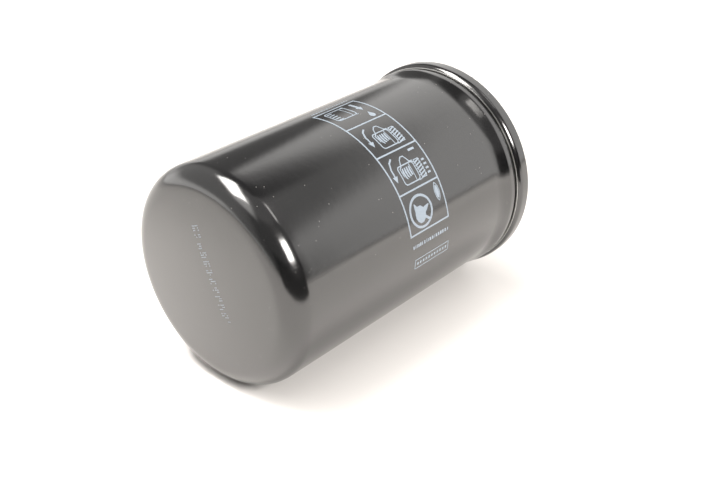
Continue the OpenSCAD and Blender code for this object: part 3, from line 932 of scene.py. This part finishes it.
def dome_mark(can):
    """Rows of small ink dots, with some left out, in a line across the dome."""
    tree = Tree("Dome mark", **{
        "Length": 32.0 * MM, "Height": 2.4 * MM, "Columns": 45, "Rows": 5, "Dot radius": 0.2 * MM,
        "Cover": 0.52, "Seed": 11, "Crown radius": can.crown, "Dome place": can.dome_x})
    g = tree.given
    grid = tree.geo(
        "MeshGrid", Size_X=g["Length"], Size_Y=g["Height"], Vertices_X=g["Columns"], Vertices_Y=g["Rows"])
    column = tree.sum("FLOOR", tree.sum("DIVIDE", tree.geo("InputIndex"), g["Rows"]))
    gap = tree.sum("COMPARE", tree.sum("MODULO", column, 4.0), 3.0, 0.1)
    chance = tree.node(
        "FunctionNodeRandomValue", {"data_type": "BOOLEAN"}, Probability=g["Cover"], Seed=g["Seed"]).outputs[3]
    keep = tree.sum("MULTIPLY", chance, tree.sum("SUBTRACT", 1.0, gap))
    dot = tree.geo("MeshCylinder", Vertices=10, Radius=g["Dot radius"], Depth=0.00004)
    dots = tree.copies(grid, dot, Selection=keep)
    dots = tree.geo("RealizeInstances", Geometry=dots)
    # laid on the line from the upper right to the lower left of the dome, seen from outside
    start, end = Vector((2.9, 20.4)), Vector((-9.6, -9.2))
    along = (end - start).normalized()
    middle = (start + end) / 2
    spot = tree.parts(tree.geo("InputPosition"))
    y = tree.sum(
        "ADD", tree.sum("MULTIPLY_ADD", spot["X"], along.x, middle.x * MM),
        tree.sum("MULTIPLY", spot["Y"], along.y))
    z = tree.sum(
        "ADD", tree.sum("MULTIPLY_ADD", spot["X"], along.y, middle.y * MM),
        tree.sum("MULTIPLY", spot["Y"], -along.x))
    flat = tree.sum("ADD", tree.sum("MULTIPLY", y, y), tree.sum("MULTIPLY", z, z))
    drop = tree.sum(
        "SQRT", tree.sum("SUBTRACT", tree.sum("MULTIPLY", g["Crown radius"], g["Crown radius"]), flat))
    x = tree.sum("ADD", tree.sum("SUBTRACT", g["Crown radius"], drop), g["Dome place"])
    x = tree.sum("SUBTRACT", x, spot["Z"])
    at = tree.vector(X=x, Y=y, Z=z)
    placed = tree.geo("SetPosition", Geometry=dots, Position=at)
    tree.finish(placed, finish("screen_ink"))
    mesh = tree.bake("dome_mark")
    shape = bmesh.new()
    shape.from_mesh(mesh)
    bmesh.ops.recalc_face_normals(shape, faces=shape.faces)
    shape.to_mesh(mesh)
    shape.free()
    return mesh


# The mounting end


class FILTER_OT_base_plate(bpy.types.Operator):
    """Presses the base plate, punches its oil inlets and cuts the thread in its neck"""
    bl_idname = "oil_filter.base_plate"
    bl_label = "Base plate"

    def execute(self, context):
        mount = InMillimetres(context.scene.filter_mount)
        root = mount.bore + mount.thread_depth
        neck, step, plate = 12.0, 30.4, PLATE_HIGH.z / MM
        neck_end, face, rim, floor = mount.neck_end, -2.6, -5.8, -3.2
        outline = [
            (mount.bore + 1.6, 0.0), (step, 0.0, 0.7), (step, face, 0.5), (plate, face, 0.35),
            (plate, rim, 0.35), (step, rim, 0.9), (28.2, floor, 0.9), (neck, floor, 0.5),
            (neck, neck_end, 0.5), (root + 0.9, neck_end), (root, neck_end + 0.9), (root, -0.9)]
        mesh = turned("base_plate_pressing", rounded(outline, 6))
        mesh = punched(
            "base_plate_pressing", mesh, finish("pressed_steel"), mount.inlets, mount.inlet_ring,
            mount.inlet_width, -5.0, 2.0)
        place("base_plate_pressing", mesh, "housing", "pressed_steel", "base_plate")
        turns = (abs(neck_end) - 1.6) / mount.pitch
        overlap = 0.075  # how deep the thread's wire is set in the neck
        thread = wire_coil(
            "neck_thread", finish("pressed_steel"), neck_end + 0.85, -0.75, root + overlap, root + overlap,
            turns, mount.thread_depth + overlap, flat=0.0, sides=4, per_turn=64)
        place("neck_thread", thread, "housing", "pressed_steel", sharp=20)
        return {"FINISHED"}


class FILTER_OT_spot_welds(bpy.types.Operator):
    """Sets the spot welds that hold the lid to the base plate"""
    bl_idname = "oil_filter.spot_welds"
    bl_label = "Spot welds"

    def execute(self, context):
        mount = context.scene.filter_mount
        r = mount.weld_width / MM / 2
        outline = [
            (0, 0.0), (r, 0.0), (r, 0.36), (r - 0.15, 0.44), (r - 0.5, 0.4), (r - 0.8, 0.24), (0.25, 0.2),
            (0, 0.2)]
        button = turned("weld_button", outline, 24)
        holder = bpy.data.objects.new("weld_button", button)
        tree = Tree("Spot welds", **{
            "Welds": mount.welds, "Ring radius": mount.weld_ring, "First angle": math.pi / mount.welds})
        g = tree.given
        circle = tree.geo("MeshCircle", Vertices=g["Welds"], Radius=g["Ring radius"])
        circle = tree.geo("Transform", Geometry=circle, Rotation=tree.vector(Z=g["First angle"]))
        circle = on_axis(tree, circle, 0.0)
        shape = tree.node("GeometryNodeObjectInfo", Object=holder).outputs["Geometry"]
        many = tree.copies(circle, shape)
        tree.finish(many, finish("weld_steel"))
        mesh = tree.bake("weld_nuggets")
        bpy.data.objects.remove(holder)
        place("weld_nuggets", mesh, "housing", "weld_steel", "spot_welds")
        return {"FINISHED"}


class FILTER_OT_gasket(bpy.types.Operator):
    """Seats the square-section gasket in the lid's channel"""
    bl_idname = "oil_filter.gasket"
    bl_label = "Seating gasket"

    def execute(self, context):
        mount = InMillimetres(context.scene.filter_mount)
        outline = ring_outline(
            mount.gasket_inner, mount.gasket_outer, GASKET_LOW.x / MM, GASKET_HIGH.x / MM, 0.4, 5)
        spin("square_gasket", outline, "housing", "nitrile", "seating_gasket")
        return {"FINISHED"}


class FILTER_OT_drainback_valve(bpy.types.Operator):
    """Moulds the drain-back valve: a ribbed hub on the neck, and a skirt that lifts off the inlets"""
    bl_idname = "oil_filter.drainback_valve"
    bl_label = "Drain-back valve"

    def execute(self, context):
        x0, x1, outer = reach("drainback_hub")
        inner = 12.01
        hub = [(inner, x0 + 0.3), (inner + 0.3, x0)]
        for k in range(3):
            r = inner + 0.9 + 1.15 * k
            hub += [(r, x0), (r + 0.2, x0 + 0.25), (r + 0.4, x0 + 0.25), (r + 0.6, x0)]
        hub += [
            (outer - 0.3, x0), (outer, x0 + 0.3), (outer, x1 - 0.3), (outer - 0.3, x1), (inner + 0.3, x1),
            (inner, x1 - 0.3)]
        spin("valve_hub", [Vector(p) for p in hub], "housing", "silicone", "drainback_hub")
        foot, _, edge = reach("drainback_lip")
        root, stiff = outer - 0.05, outer + 0.85
        skirt = rounded([
            (root, foot), (stiff, foot, 0.4), (edge, x1 - 1.5, 0.5), (edge, x1 - 0.3, 0.2),
            (edge - 0.3, x1, 0.1), (edge - 1.4, x1, 0.4), (stiff, foot + 1.1, 0.4), (root, foot + 1.1)], 5)
        spin("valve_skirt", skirt, ("housing", "valve_lip", foot + 0.4, x1 - 1.4), "silicone", "drainback_lip")
        return {"FINISHED"}


# The element


class FILTER_OT_end_caps(bpy.types.Operator):
    """Presses the two end caps, with a stiffening groove, and pours the glue in them"""
    bl_idname = "oil_filter.end_caps"
    bl_label = "End caps and glue"

    def execute(self, context):
        element = InMillimetres(context.scene.filter_element)
        t, r, top, bottom = element.cap_sheet, element.radius, element.top_x, element.bottom_x
        h = t / 2
        upper_neck, lower_neck = 12.75 + h, 15 + h
        upper = [(upper_neck, top - 3), (upper_neck, top - h, 0.8), (r - h, top - h, 0.8), (r - h, top - 3)]
        lower = [
            (lower_neck, bottom + 4.5), (lower_neck, bottom + h, 0.5), (r - h, bottom + h, 0.8),
            (r - h, bottom + 3)]
        for name, line, node in (("upper_cap", upper, "top_end_cap"), ("lower_cap", lower, "bottom_end_cap")):
            spin(name, sheet_outline(rounded(line, 8), t), "element", "tinplate", node)
        for name, node in (("upper_glue", "top_glue"), ("lower_glue", "bottom_glue")):
            x0, x1, outer = reach(node)
            outline = ring_outline(element.tube_radius + 0.05, outer, x0, x1, 0.5, 4)
            spin(name, outline, "element", "plastisol", node)
        return {"FINISHED"}


class FILTER_OT_pleats(bpy.types.Operator):
    """Folds the filter paper into its star of pleats and clips the two ends together"""
    bl_idname = "oil_filter.pleats"
    bl_label = "Pleated paper"

    def execute(self, context):
        element = context.scene.filter_element
        low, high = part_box("pleated_paper")
        half = element.paper / 2
        tree = Tree(
            "Pleats",
            **{
                "Pleats": element.pleats, "Tip radius": element.paper_outer - half * 1.3,
                "Root radius": element.paper_inner + half * 1.3, "Paper": element.paper,
                "Height": high.x - low.x, "Fold radius": 0.45 * MM, "Place": (low.x + high.x) / 2})
        g = tree.given
        star = tree.geo(
            "CurveStar", Points=g["Pleats"], Inner_Radius=g["Root radius"], Outer_Radius=g["Tip radius"])
        fold = tree.geo(
            "FilletCurve", {"mode": "POLY"}, Curve=star, Count=3, Radius=g["Fold radius"], Limit_Radius=True)
        upright = tree.geo("SetCurveNormal", {"mode": "Z_UP"}, Curve=fold)
        section = tree.geo("CurvePrimitiveQuadrilateral", Width=g["Paper"], Height=g["Height"])
        wall = tree.geo("CurveToMesh", Curve=upright, Profile_Curve=section)
        tree.finish(on_axis(tree, wall, g["Place"]), finish("resin_paper"))
        place("paper_pleats", tree.bake("paper_pleats"), "element", "resin_paper", "pleated_paper", sharp=50)
        self.clip(InMillimetres(element))
        return {"FINISHED"}

    def clip(self, element):
        """Bends the clip over the pleat that lies at the top."""
        x0, x1, _ = reach("paper_clip")
        tip, t, gap, depth = element.paper_outer, 0.3, 0.03, 3.5
        a = math.pi / element.pleats
        inner = element.paper_inner + 2 * element.paper
        edge = (Vector((inner * math.cos(a), inner * math.sin(a))) - Vector((tip, 0))).normalized()
        side = Vector((edge.y, -edge.x))
        stand = gap + t / 2
        top = Vector((tip, 0)) + side * stand
        shoulder = top + edge * ((tip + stand - top.x) / edge.x)
        heel = top + edge * depth
        route = [
            (heel.x, heel.y), (shoulder.x, shoulder.y, 0.25), (shoulder.x, -shoulder.y, 0.25),
            (heel.x, -heel.y)]
        outline = sheet_outline(rounded(route, 4), t)
        count = len(outline)
        points = [(x, p.y, -p.x) for x in (x0, x1) for p in outline]
        faces = [(i, (i + 1) % count, count + (i + 1) % count, count + i) for i in range(count)]
        middle = count // 2
        for base in (0, count):
            for i in range(middle - 1):
                faces.append((base + i, base + i + 1, base + count - 2 - i, base + count - 1 - i))
        place("pleat_clip", solid("pleat_clip", points, faces), "element", "tinplate", "paper_clip")


class FILTER_OT_centre_tube(bpy.types.Operator):
    """Rolls the centre tube and perforates it in staggered rows"""
    bl_idname = "oil_filter.centre_tube"
    bl_label = "Centre tube"

    def execute(self, context):
        element = context.scene.filter_element
        x0, x1, _ = reach("centre_tube")
        r, wall, plain_ends = element.tube_radius / MM, 0.5, 8
        outline = [Vector(p) for p in ((r - wall, x0), (r, x0), (r, x1), (r - wall, x1))]
        tube = turned("perforated_tube", outline, 120)
        rows = int((x1 - x0 - plain_ends) / (element.hole_pitch / MM))
        first = (x0 + x1) / 2 - (rows - 1) * element.hole_pitch / MM / 2
        tree = Tree("Perforations", **{
            "Rows": rows, "Holes around": element.holes_around, "Row pitch": element.hole_pitch,
            "Hole width": element.hole, "Tube radius": element.tube_radius, "First row": first * MM})
        g = tree.given
        total = tree.sum("MULTIPLY", g["Rows"], g["Holes around"])
        points = tree.geo("Points", Count=total)
        index = tree.geo("InputIndex")
        row = tree.sum("FLOOR", tree.sum("DIVIDE", index, g["Holes around"]))
        share = tree.sum(
            "ADD", tree.sum("MODULO", index, g["Holes around"]),
            tree.sum("MULTIPLY", tree.sum("MODULO", row, 2.0), 0.5))
        angle = tree.sum("DIVIDE", tree.sum("MULTIPLY", share, math.tau), g["Holes around"])
        at = tree.node(
            "ShaderNodeCombineXYZ", X=tree.sum("MULTIPLY_ADD", row, g["Row pitch"], g["First row"]),
            Y=tree.sum("MULTIPLY", tree.sum("SINE", angle), tree.sum("MULTIPLY", g["Tube radius"], -1.0)),
            Z=tree.sum("MULTIPLY", tree.sum("COSINE", angle), g["Tube radius"])).outputs[0]
        points = tree.geo("SetPosition", Geometry=points, Position=at)
        punch = tree.geo(
            "MeshCylinder", Vertices=20, Depth=0.003, Radius=tree.sum("MULTIPLY", g["Hole width"], 0.5))
        many = tree.copies(points, punch, Rotation=tree.vector(X=angle))
        tree.cut(many, finish("tube_steel"))
        place("perforated_tube", tree.bake("perforated_tube", tube), "element", "tube_steel", "centre_tube")
        return {"FINISHED"}


class FILTER_OT_bypass_valve(bpy.types.Operator):
    """Builds the bypass valve: seat, seal, disc with its stem, cage and spring"""
    bl_idname = "oil_filter.bypass_valve"
    bl_label = "Bypass valve"

    def execute(self, context):
        back = context.scene.filter_element.bottom_x / MM
        t, h = 0.6, 0.3
        seal_x, disc_x, spring_x, flange_x, cage_x = back + 0.6, back + 1.8, back + 2.6, back + 3.8, back + 16.6
        seat = rounded([(7.5, back + h), (15 - h, back + h, 0.7), (15 - h, back + 5.5)], 8)
        spin("bypass_cup", sheet_outline(seat, t), "element", "passivated", "bypass_seat")
        spin(
            "bypass_washer", ring_outline(3.0, 11.5, seal_x, disc_x, 0.2), "bypass_valve", "nitrile",
            "bypass_seal")
        stem, collar, stem_end, collar_end = 2.0, 3.2, cage_x + t + 2, cage_x - 3.55
        disc = rounded([
            (0, disc_x), (11.5, disc_x, 0.2), (11.5, spring_x, 0.2), (collar, spring_x, 0.15),
            (collar, collar_end, 0.3), (stem, collar_end, 0.1), (stem, stem_end, 0.5), (0, stem_end)], 4)
        spin("bypass_plunger", disc, "bypass_valve", "tinplate", "bypass_disc", 96)
        cage_line = rounded(
            [
                (14.4, flange_x - h), (12.8 - h, flange_x - h, 0.5), (12.8 - h, cage_x + h, 1.0),
                (2.05, cage_x + h)],
            8)
        cage = turned("bypass_cage_cup", sheet_outline(cage_line, t), 120)
        cage = self.windows(cage, flange_x + 1.5, cage_x - 3.0)
        place("bypass_cage_cup", cage, "element", "passivated", "bypass_cage")
        wire = 0.6
        spring = wire_coil(
            "bypass_coil", finish("spring_wire"), spring_x + wire, cage_x - wire, 5.2, 5.2, 6, wire)
        place(
            "bypass_coil", spring, ("bypass_valve", "element", spring_x, cage_x), "spring_wire",
            "bypass_spring")
        return {"FINISHED"}

    def windows(self, cage, low, high):
        """Cuts the three oil windows in the cage's wall."""
        tree = Tree("Cage windows", **{"Windows": 3, "Low": low * MM, "High": high * MM, "Width": 10.0 * MM})
        g = tree.given
        circle = tree.geo("MeshCircle", Vertices=g["Windows"], Radius=0.009)
        circle = on_axis(tree, circle, tree.sum("MULTIPLY", tree.sum("ADD", g["Low"], g["High"]), 0.5))
        spot = tree.parts(tree.geo("InputPosition"))
        angle = tree.sum("ARCTAN2", tree.sum("MULTIPLY", spot["Y"], -1.0), spot["Z"])
        size_of = tree.vector(X=tree.sum("SUBTRACT", g["High"], g["Low"]), Y=g["Width"], Z=0.009)
        block = tree.geo("MeshCube", Size=size_of)
        many = tree.copies(circle, block, Rotation=tree.vector(X=angle))
        tree.cut(many, finish("passivated"))
        return tree.bake("bypass_cage_cup", cage)


class FILTER_OT_element_spring(bpy.types.Operator):
    """Winds the conical spring between the dome and the element"""
    bl_idname = "oil_filter.element_spring"
    bl_label = "Element spring"

    def execute(self, context):
        can, element = InMillimetres(context.scene.filter_can), InMillimetres(context.scene.filter_element)
        wire, wide, narrow, turns = 1.1, 20.0, 12.0, 2.5
        inside = can.dome_x + can.crown - math.sqrt((can.crown - can.sheet) ** 2 - wide * wide)
        foot, top = inside + wire + 0.02, element.bottom_x - wire
        coil = wire_coil(
            "element_coil", finish("spring_wire"), foot, top, wide, narrow, turns, wire, sides=16, per_turn=64)
        place("element_coil", coil, ("housing", "element", foot, top), "spring_wire", "element_spring")
        return {"FINISHED"}


# The stage


def softbox(name, azimuth, elevation, wide, tall, radiance, roll=0.0):
    """A soft rectangular lamp at a direction from the filter, sized by the angles that it fills, in degrees."""
    a, e, distance = math.radians(azimuth), math.radians(elevation), 1.1
    towards = Vector((math.cos(a) * math.cos(e), math.sin(a) * math.cos(e), math.sin(e)))
    lamp = bpy.data.lights.new(name, "AREA")
    lamp.shape = "RECTANGLE"
    lamp.size = 2 * distance * math.tan(math.radians(wide / 2))
    lamp.size_y = 2 * distance * math.tan(math.radians(tall / 2))
    lamp.energy = radiance * math.pi * lamp.size * lamp.size_y
    lamp.color = LAMP_TINT
    holder = stand(name, lamp)
    holder.location = MIDDLE + towards * distance
    face = towards.to_track_quat("Z", "Y") @ Quaternion((0, 0, 1), math.radians(roll))
    holder.rotation_euler = face.to_euler()
    holder.visible_camera = False
    return holder


LAMP_TINT = (1.0, 0.965, 0.93)
FLOOR_RADIUS = 4.0
MIDDLE = Vector((-0.058, 0, 0))  # what the lamps face

# Parts of the studio that the gloss shows. Each row, in degrees: azimuth, half width, lowest and highest
# elevation, soft edge. Last, the change in brightness.
STUDIO = (
    (-112, 65, -30, 58, 8, -0.27),
    (-103, 50, -30, 19, 6, -0.2),
    (120, 36, -30, 13, 10, 1.6),
    (176, 20, -30, 5, 8, 1.1),
    (120, 50, 14, 50, 12, 0.22),
    (54, 12, 8, 50, 5, -0.26),
    (34, 38, 50, 75, 5, -0.36),
    (62, 20, -30, 7, 6, 0.7),
    (175, 24, 50, 85, 10, 1.8),
)
STUDIO_DIM = 0.5  # brightness of the rest of the studio

# The pale wall beyond the mounting end: its two sides and top as shares of its distance, the slope of the top,
# the soft edge, and the change in brightness
FAR_WALL = (-1.34, 0.9, 1.02, 0.16, 0.1, 1.15)


class FILTER_OT_stage(bpy.types.Operator):
    """Lays the pale floor and sets the studio light and the camera"""
    bl_idname = "oil_filter.stage"
    bl_label = "Stage"

    def execute(self, context):
        stage = context.scene.filter_stage
        self.floor(stage, context.scene.filter_can)
        self.room()
        softbox("side_box", -92, 32.5, 22, 18, 26)
        softbox("overhead_box", 124, 70, 36, 21, 14)
        softbox("rim_strip", -37, 57.5, 18, 5, 3.9, roll=32)
        softbox("fill_box", -165, 62, 60, 40, 1.5).visible_glossy = False
        self.floor_lamp("floor_spot", (-0.21, 0.3, 0.45), (-0.138, 0.066, -0.039), 10.0, 22, 0.04)
        self.floor_lamp("far_floor_spot", (0.5, -0.45, 0.8), (0.5, -0.45001, -0.039), 22.0, 60, 0.1)
        self.black_card()
        camera = bpy.data.cameras.new("camera")
        camera.lens, camera.sensor_width = stage.lens, 36.0
        camera.clip_start = 0.01
        holder = stand("camera", camera)
        forward = Vector(stage.look).normalized()
        right = forward.cross(Vector((0, 0, 1))).normalized()
        up = right.cross(forward)
        turn = Matrix((right, up, -forward)).transposed().to_4x4()
        holder.matrix_world = Matrix.Translation(Vector(stage.eye)) @ turn
        context.scene.camera = holder
        context.scene.view_settings.view_transform = "Standard"
        context.scene.view_settings.look = "None"
        return {"FINISHED"}

    def floor_lamp(self, name, spot, target, energy, cone, soft):
        """A soft spot on the floor, which the gloss on the can picks up."""
        lamp = bpy.data.lights.new(name, "SPOT")
        lamp.energy, lamp.color = energy, LAMP_TINT
        lamp.spot_size, lamp.spot_blend, lamp.shadow_soft_size = math.radians(cone), 1.0, soft
        holder = stand(name, lamp)
        holder.location = spot
        aim = Vector(target) - holder.location
        holder.rotation_euler = aim.to_track_quat("-Z", "Y").to_euler()
        holder.visible_glossy = False

    def black_card(self):
        """A black card on the floor beside the can, seen only in the gloss."""
        mesh = bpy.data.meshes.new("black_card")
        mesh.from_pydata(
            [(-0.45, -0.2, -0.036), (0.0, -0.22, -0.038), (0.0, -0.22, 0.07), (-0.45, -0.2, 0.07)], [],
            [(0, 1, 2, 3)])
        card = Finish("card_black", (0.02, 0.02, 0.02), 0.9)
        card.set("Base Color", card.mix(card.noise(60.0), card.shade(0.8), card.shade(1.2)))
        mesh.materials.append(card.material)
        holder = stand("black_card", mesh)
        holder.visible_camera = holder.visible_diffuse = holder.visible_shadow = False

    def floor(self, stage, can):
        """A wide round floor that the seam and the end of the wall rest on."""
        seam, wall = can.seam_radius, can.radius
        seam_at, wall_at = -0.0033, can.dome_x + 0.0095
        slope = -(seam - wall) / (seam_at - wall_at)
        disc = bmesh.new()
        bmesh.ops.create_circle(disc, cap_ends=True, radius=FLOOR_RADIUS, segments=96)
        for v in disc.verts:
            v.co.z = -wall + slope * (v.co.x - wall_at)
        bmesh.ops.recalc_face_normals(disc, faces=disc.faces)
        mesh = bpy.data.meshes.new("floor")
        disc.to_mesh(mesh)
        disc.free()
        if mesh.polygons[0].normal.z < 0:
            mesh.flip_normals()
        paper = Finish("floor_paper", stage.floor, 0.85)
        paper.set("Base Color", paper.mix(paper.noise(3.0, 2.0), paper.shade(0.985), paper.shade(1.0)))
        mesh.materials.append(paper.material)
        stand("floor", mesh)

    def room(self):
        """The studio round the filter, lighter and darker by direction. The camera itself sees plain white."""
        world = bpy.data.worlds.new("studio")
        bpy.context.scene.world = world
        world.use_nodes = True
        world.node_tree.nodes.clear()
        air = Nodes(world.node_tree)
        sum_of = air.sum

        def risen(value, at, soft):
            return air.band(value, at - soft, at + soft, smooth=True)

        def fallen(value, at, soft):
            return sum_of("SUBTRACT", 1.0, risen(value, at, soft))

        def product(first, *others):
            for other in others:
                first = sum_of("MULTIPLY", first, other)
            return first

        x, y, z = air.parts(air.node("ShaderNodeTexCoord").outputs["Generated"])
        height = sum_of("MULTIPLY", sum_of("ARCSINE", z), math.degrees(1))
        flat = sum_of("ADD", sum_of("MULTIPLY", x, x), sum_of("MULTIPLY", y, y))
        flat = sum_of("SQRT", sum_of("MAXIMUM", flat, 1e-6))
        light = STUDIO_DIM
        for azimuth, half, low, high, soft, change in STUDIO:
            a = math.radians(azimuth)
            near = sum_of("ADD", sum_of("MULTIPLY", x, math.cos(a)), sum_of("MULTIPLY", y, math.sin(a)))
            near = sum_of("MINIMUM", sum_of("DIVIDE", near, flat), 1.0)
            off = sum_of("MULTIPLY", sum_of("ARCCOSINE", near), math.degrees(1))
            inside = product(
                fallen(off, half, soft), risen(height, low, soft / 2), fallen(height, high, soft / 2))
            light = sum_of("MULTIPLY_ADD", inside, change, light)
        ahead = sum_of("MAXIMUM", x, 0.001)
        aside, above = sum_of("DIVIDE", y, ahead), sum_of("DIVIDE", z, ahead)
        left, right, top, slope, soft, change = FAR_WALL
        above = sum_of("SUBTRACT", above, sum_of("MULTIPLY", aside, slope))
        inside = product(risen(aside, left, soft), fallen(aside, right, soft), fallen(above, top, soft))
        light = sum_of("MAXIMUM", sum_of("MULTIPLY_ADD", inside, change, light), 0.03)
        seen = air.node("ShaderNodeLightPath").outputs["Is Camera Ray"]
        unseen = sum_of("MULTIPLY", light, sum_of("SUBTRACT", 1.0, seen))
        light = sum_of("ADD", unseen, sum_of("MULTIPLY", seen, 1.2))
        shade = air.first("ShaderNodeBackground", Strength=light, Color=(1.0, 0.98, 0.955, 1.0))
        air.node("ShaderNodeOutputWorld", Surface=shade)


class FILTER_PT_pieces(bpy.types.Panel):
    """Lists the filter's pieces and their sizes"""
    bl_idname = "FILTER_PT_pieces"
    bl_label = "Oil filter"
    bl_space_type = "VIEW_3D"
    bl_region_type = "UI"
    bl_category = "Oil filter"

    def draw(self, context):
        scene = context.scene
        for label, sizes, steps in (
            ("Can", scene.filter_can, CAN_STEPS), ("Mounting end", scene.filter_mount, MOUNT_STEPS),
            ("Element", scene.filter_element, ELEMENT_STEPS), ("Stage", scene.filter_stage, STAGE_STEPS)):
            box = self.layout.box()
            box.label(text=label)
            for key in sizes.__annotations__:
                box.prop(sizes, key)
            for step in steps:
                box.operator(step.bl_idname)


CAN_STEPS = (FILTER_OT_can, FILTER_OT_seaming_lid, FILTER_OT_seam_compound, FILTER_OT_printing)
MOUNT_STEPS = (FILTER_OT_base_plate, FILTER_OT_spot_welds, FILTER_OT_gasket, FILTER_OT_drainback_valve)
ELEMENT_STEPS = (
    FILTER_OT_end_caps, FILTER_OT_pleats, FILTER_OT_centre_tube, FILTER_OT_bypass_valve,
    FILTER_OT_element_spring)
STAGE_STEPS = (FILTER_OT_stage,)
STEPS = CAN_STEPS + MOUNT_STEPS + ELEMENT_STEPS + STAGE_STEPS
GROUPS = {
    "filter_can": CanSizes, "filter_mount": MountSizes, "filter_element": ElementSizes,
    "filter_stage": StageSizes}


def register():
    for kind in (*GROUPS.values(), *STEPS, FILTER_PT_pieces):
        bpy.utils.register_class(kind)
    for name, kind in GROUPS.items():
        setattr(bpy.types.Scene, name, bpy.props.PointerProperty(type=kind))


def unregister():
    for name in GROUPS:
        delattr(bpy.types.Scene, name)
    for kind in reversed((*GROUPS.values(), *STEPS, FILTER_PT_pieces)):
        bpy.utils.unregister_class(kind)


def build_filter():
    """Makes every piece and the stage."""
    register()
    for step in STEPS:
        group, action = step.bl_idname.split(".")
        getattr(getattr(bpy.ops, group), action)()


if __name__ == "__main__":
    build_filter()
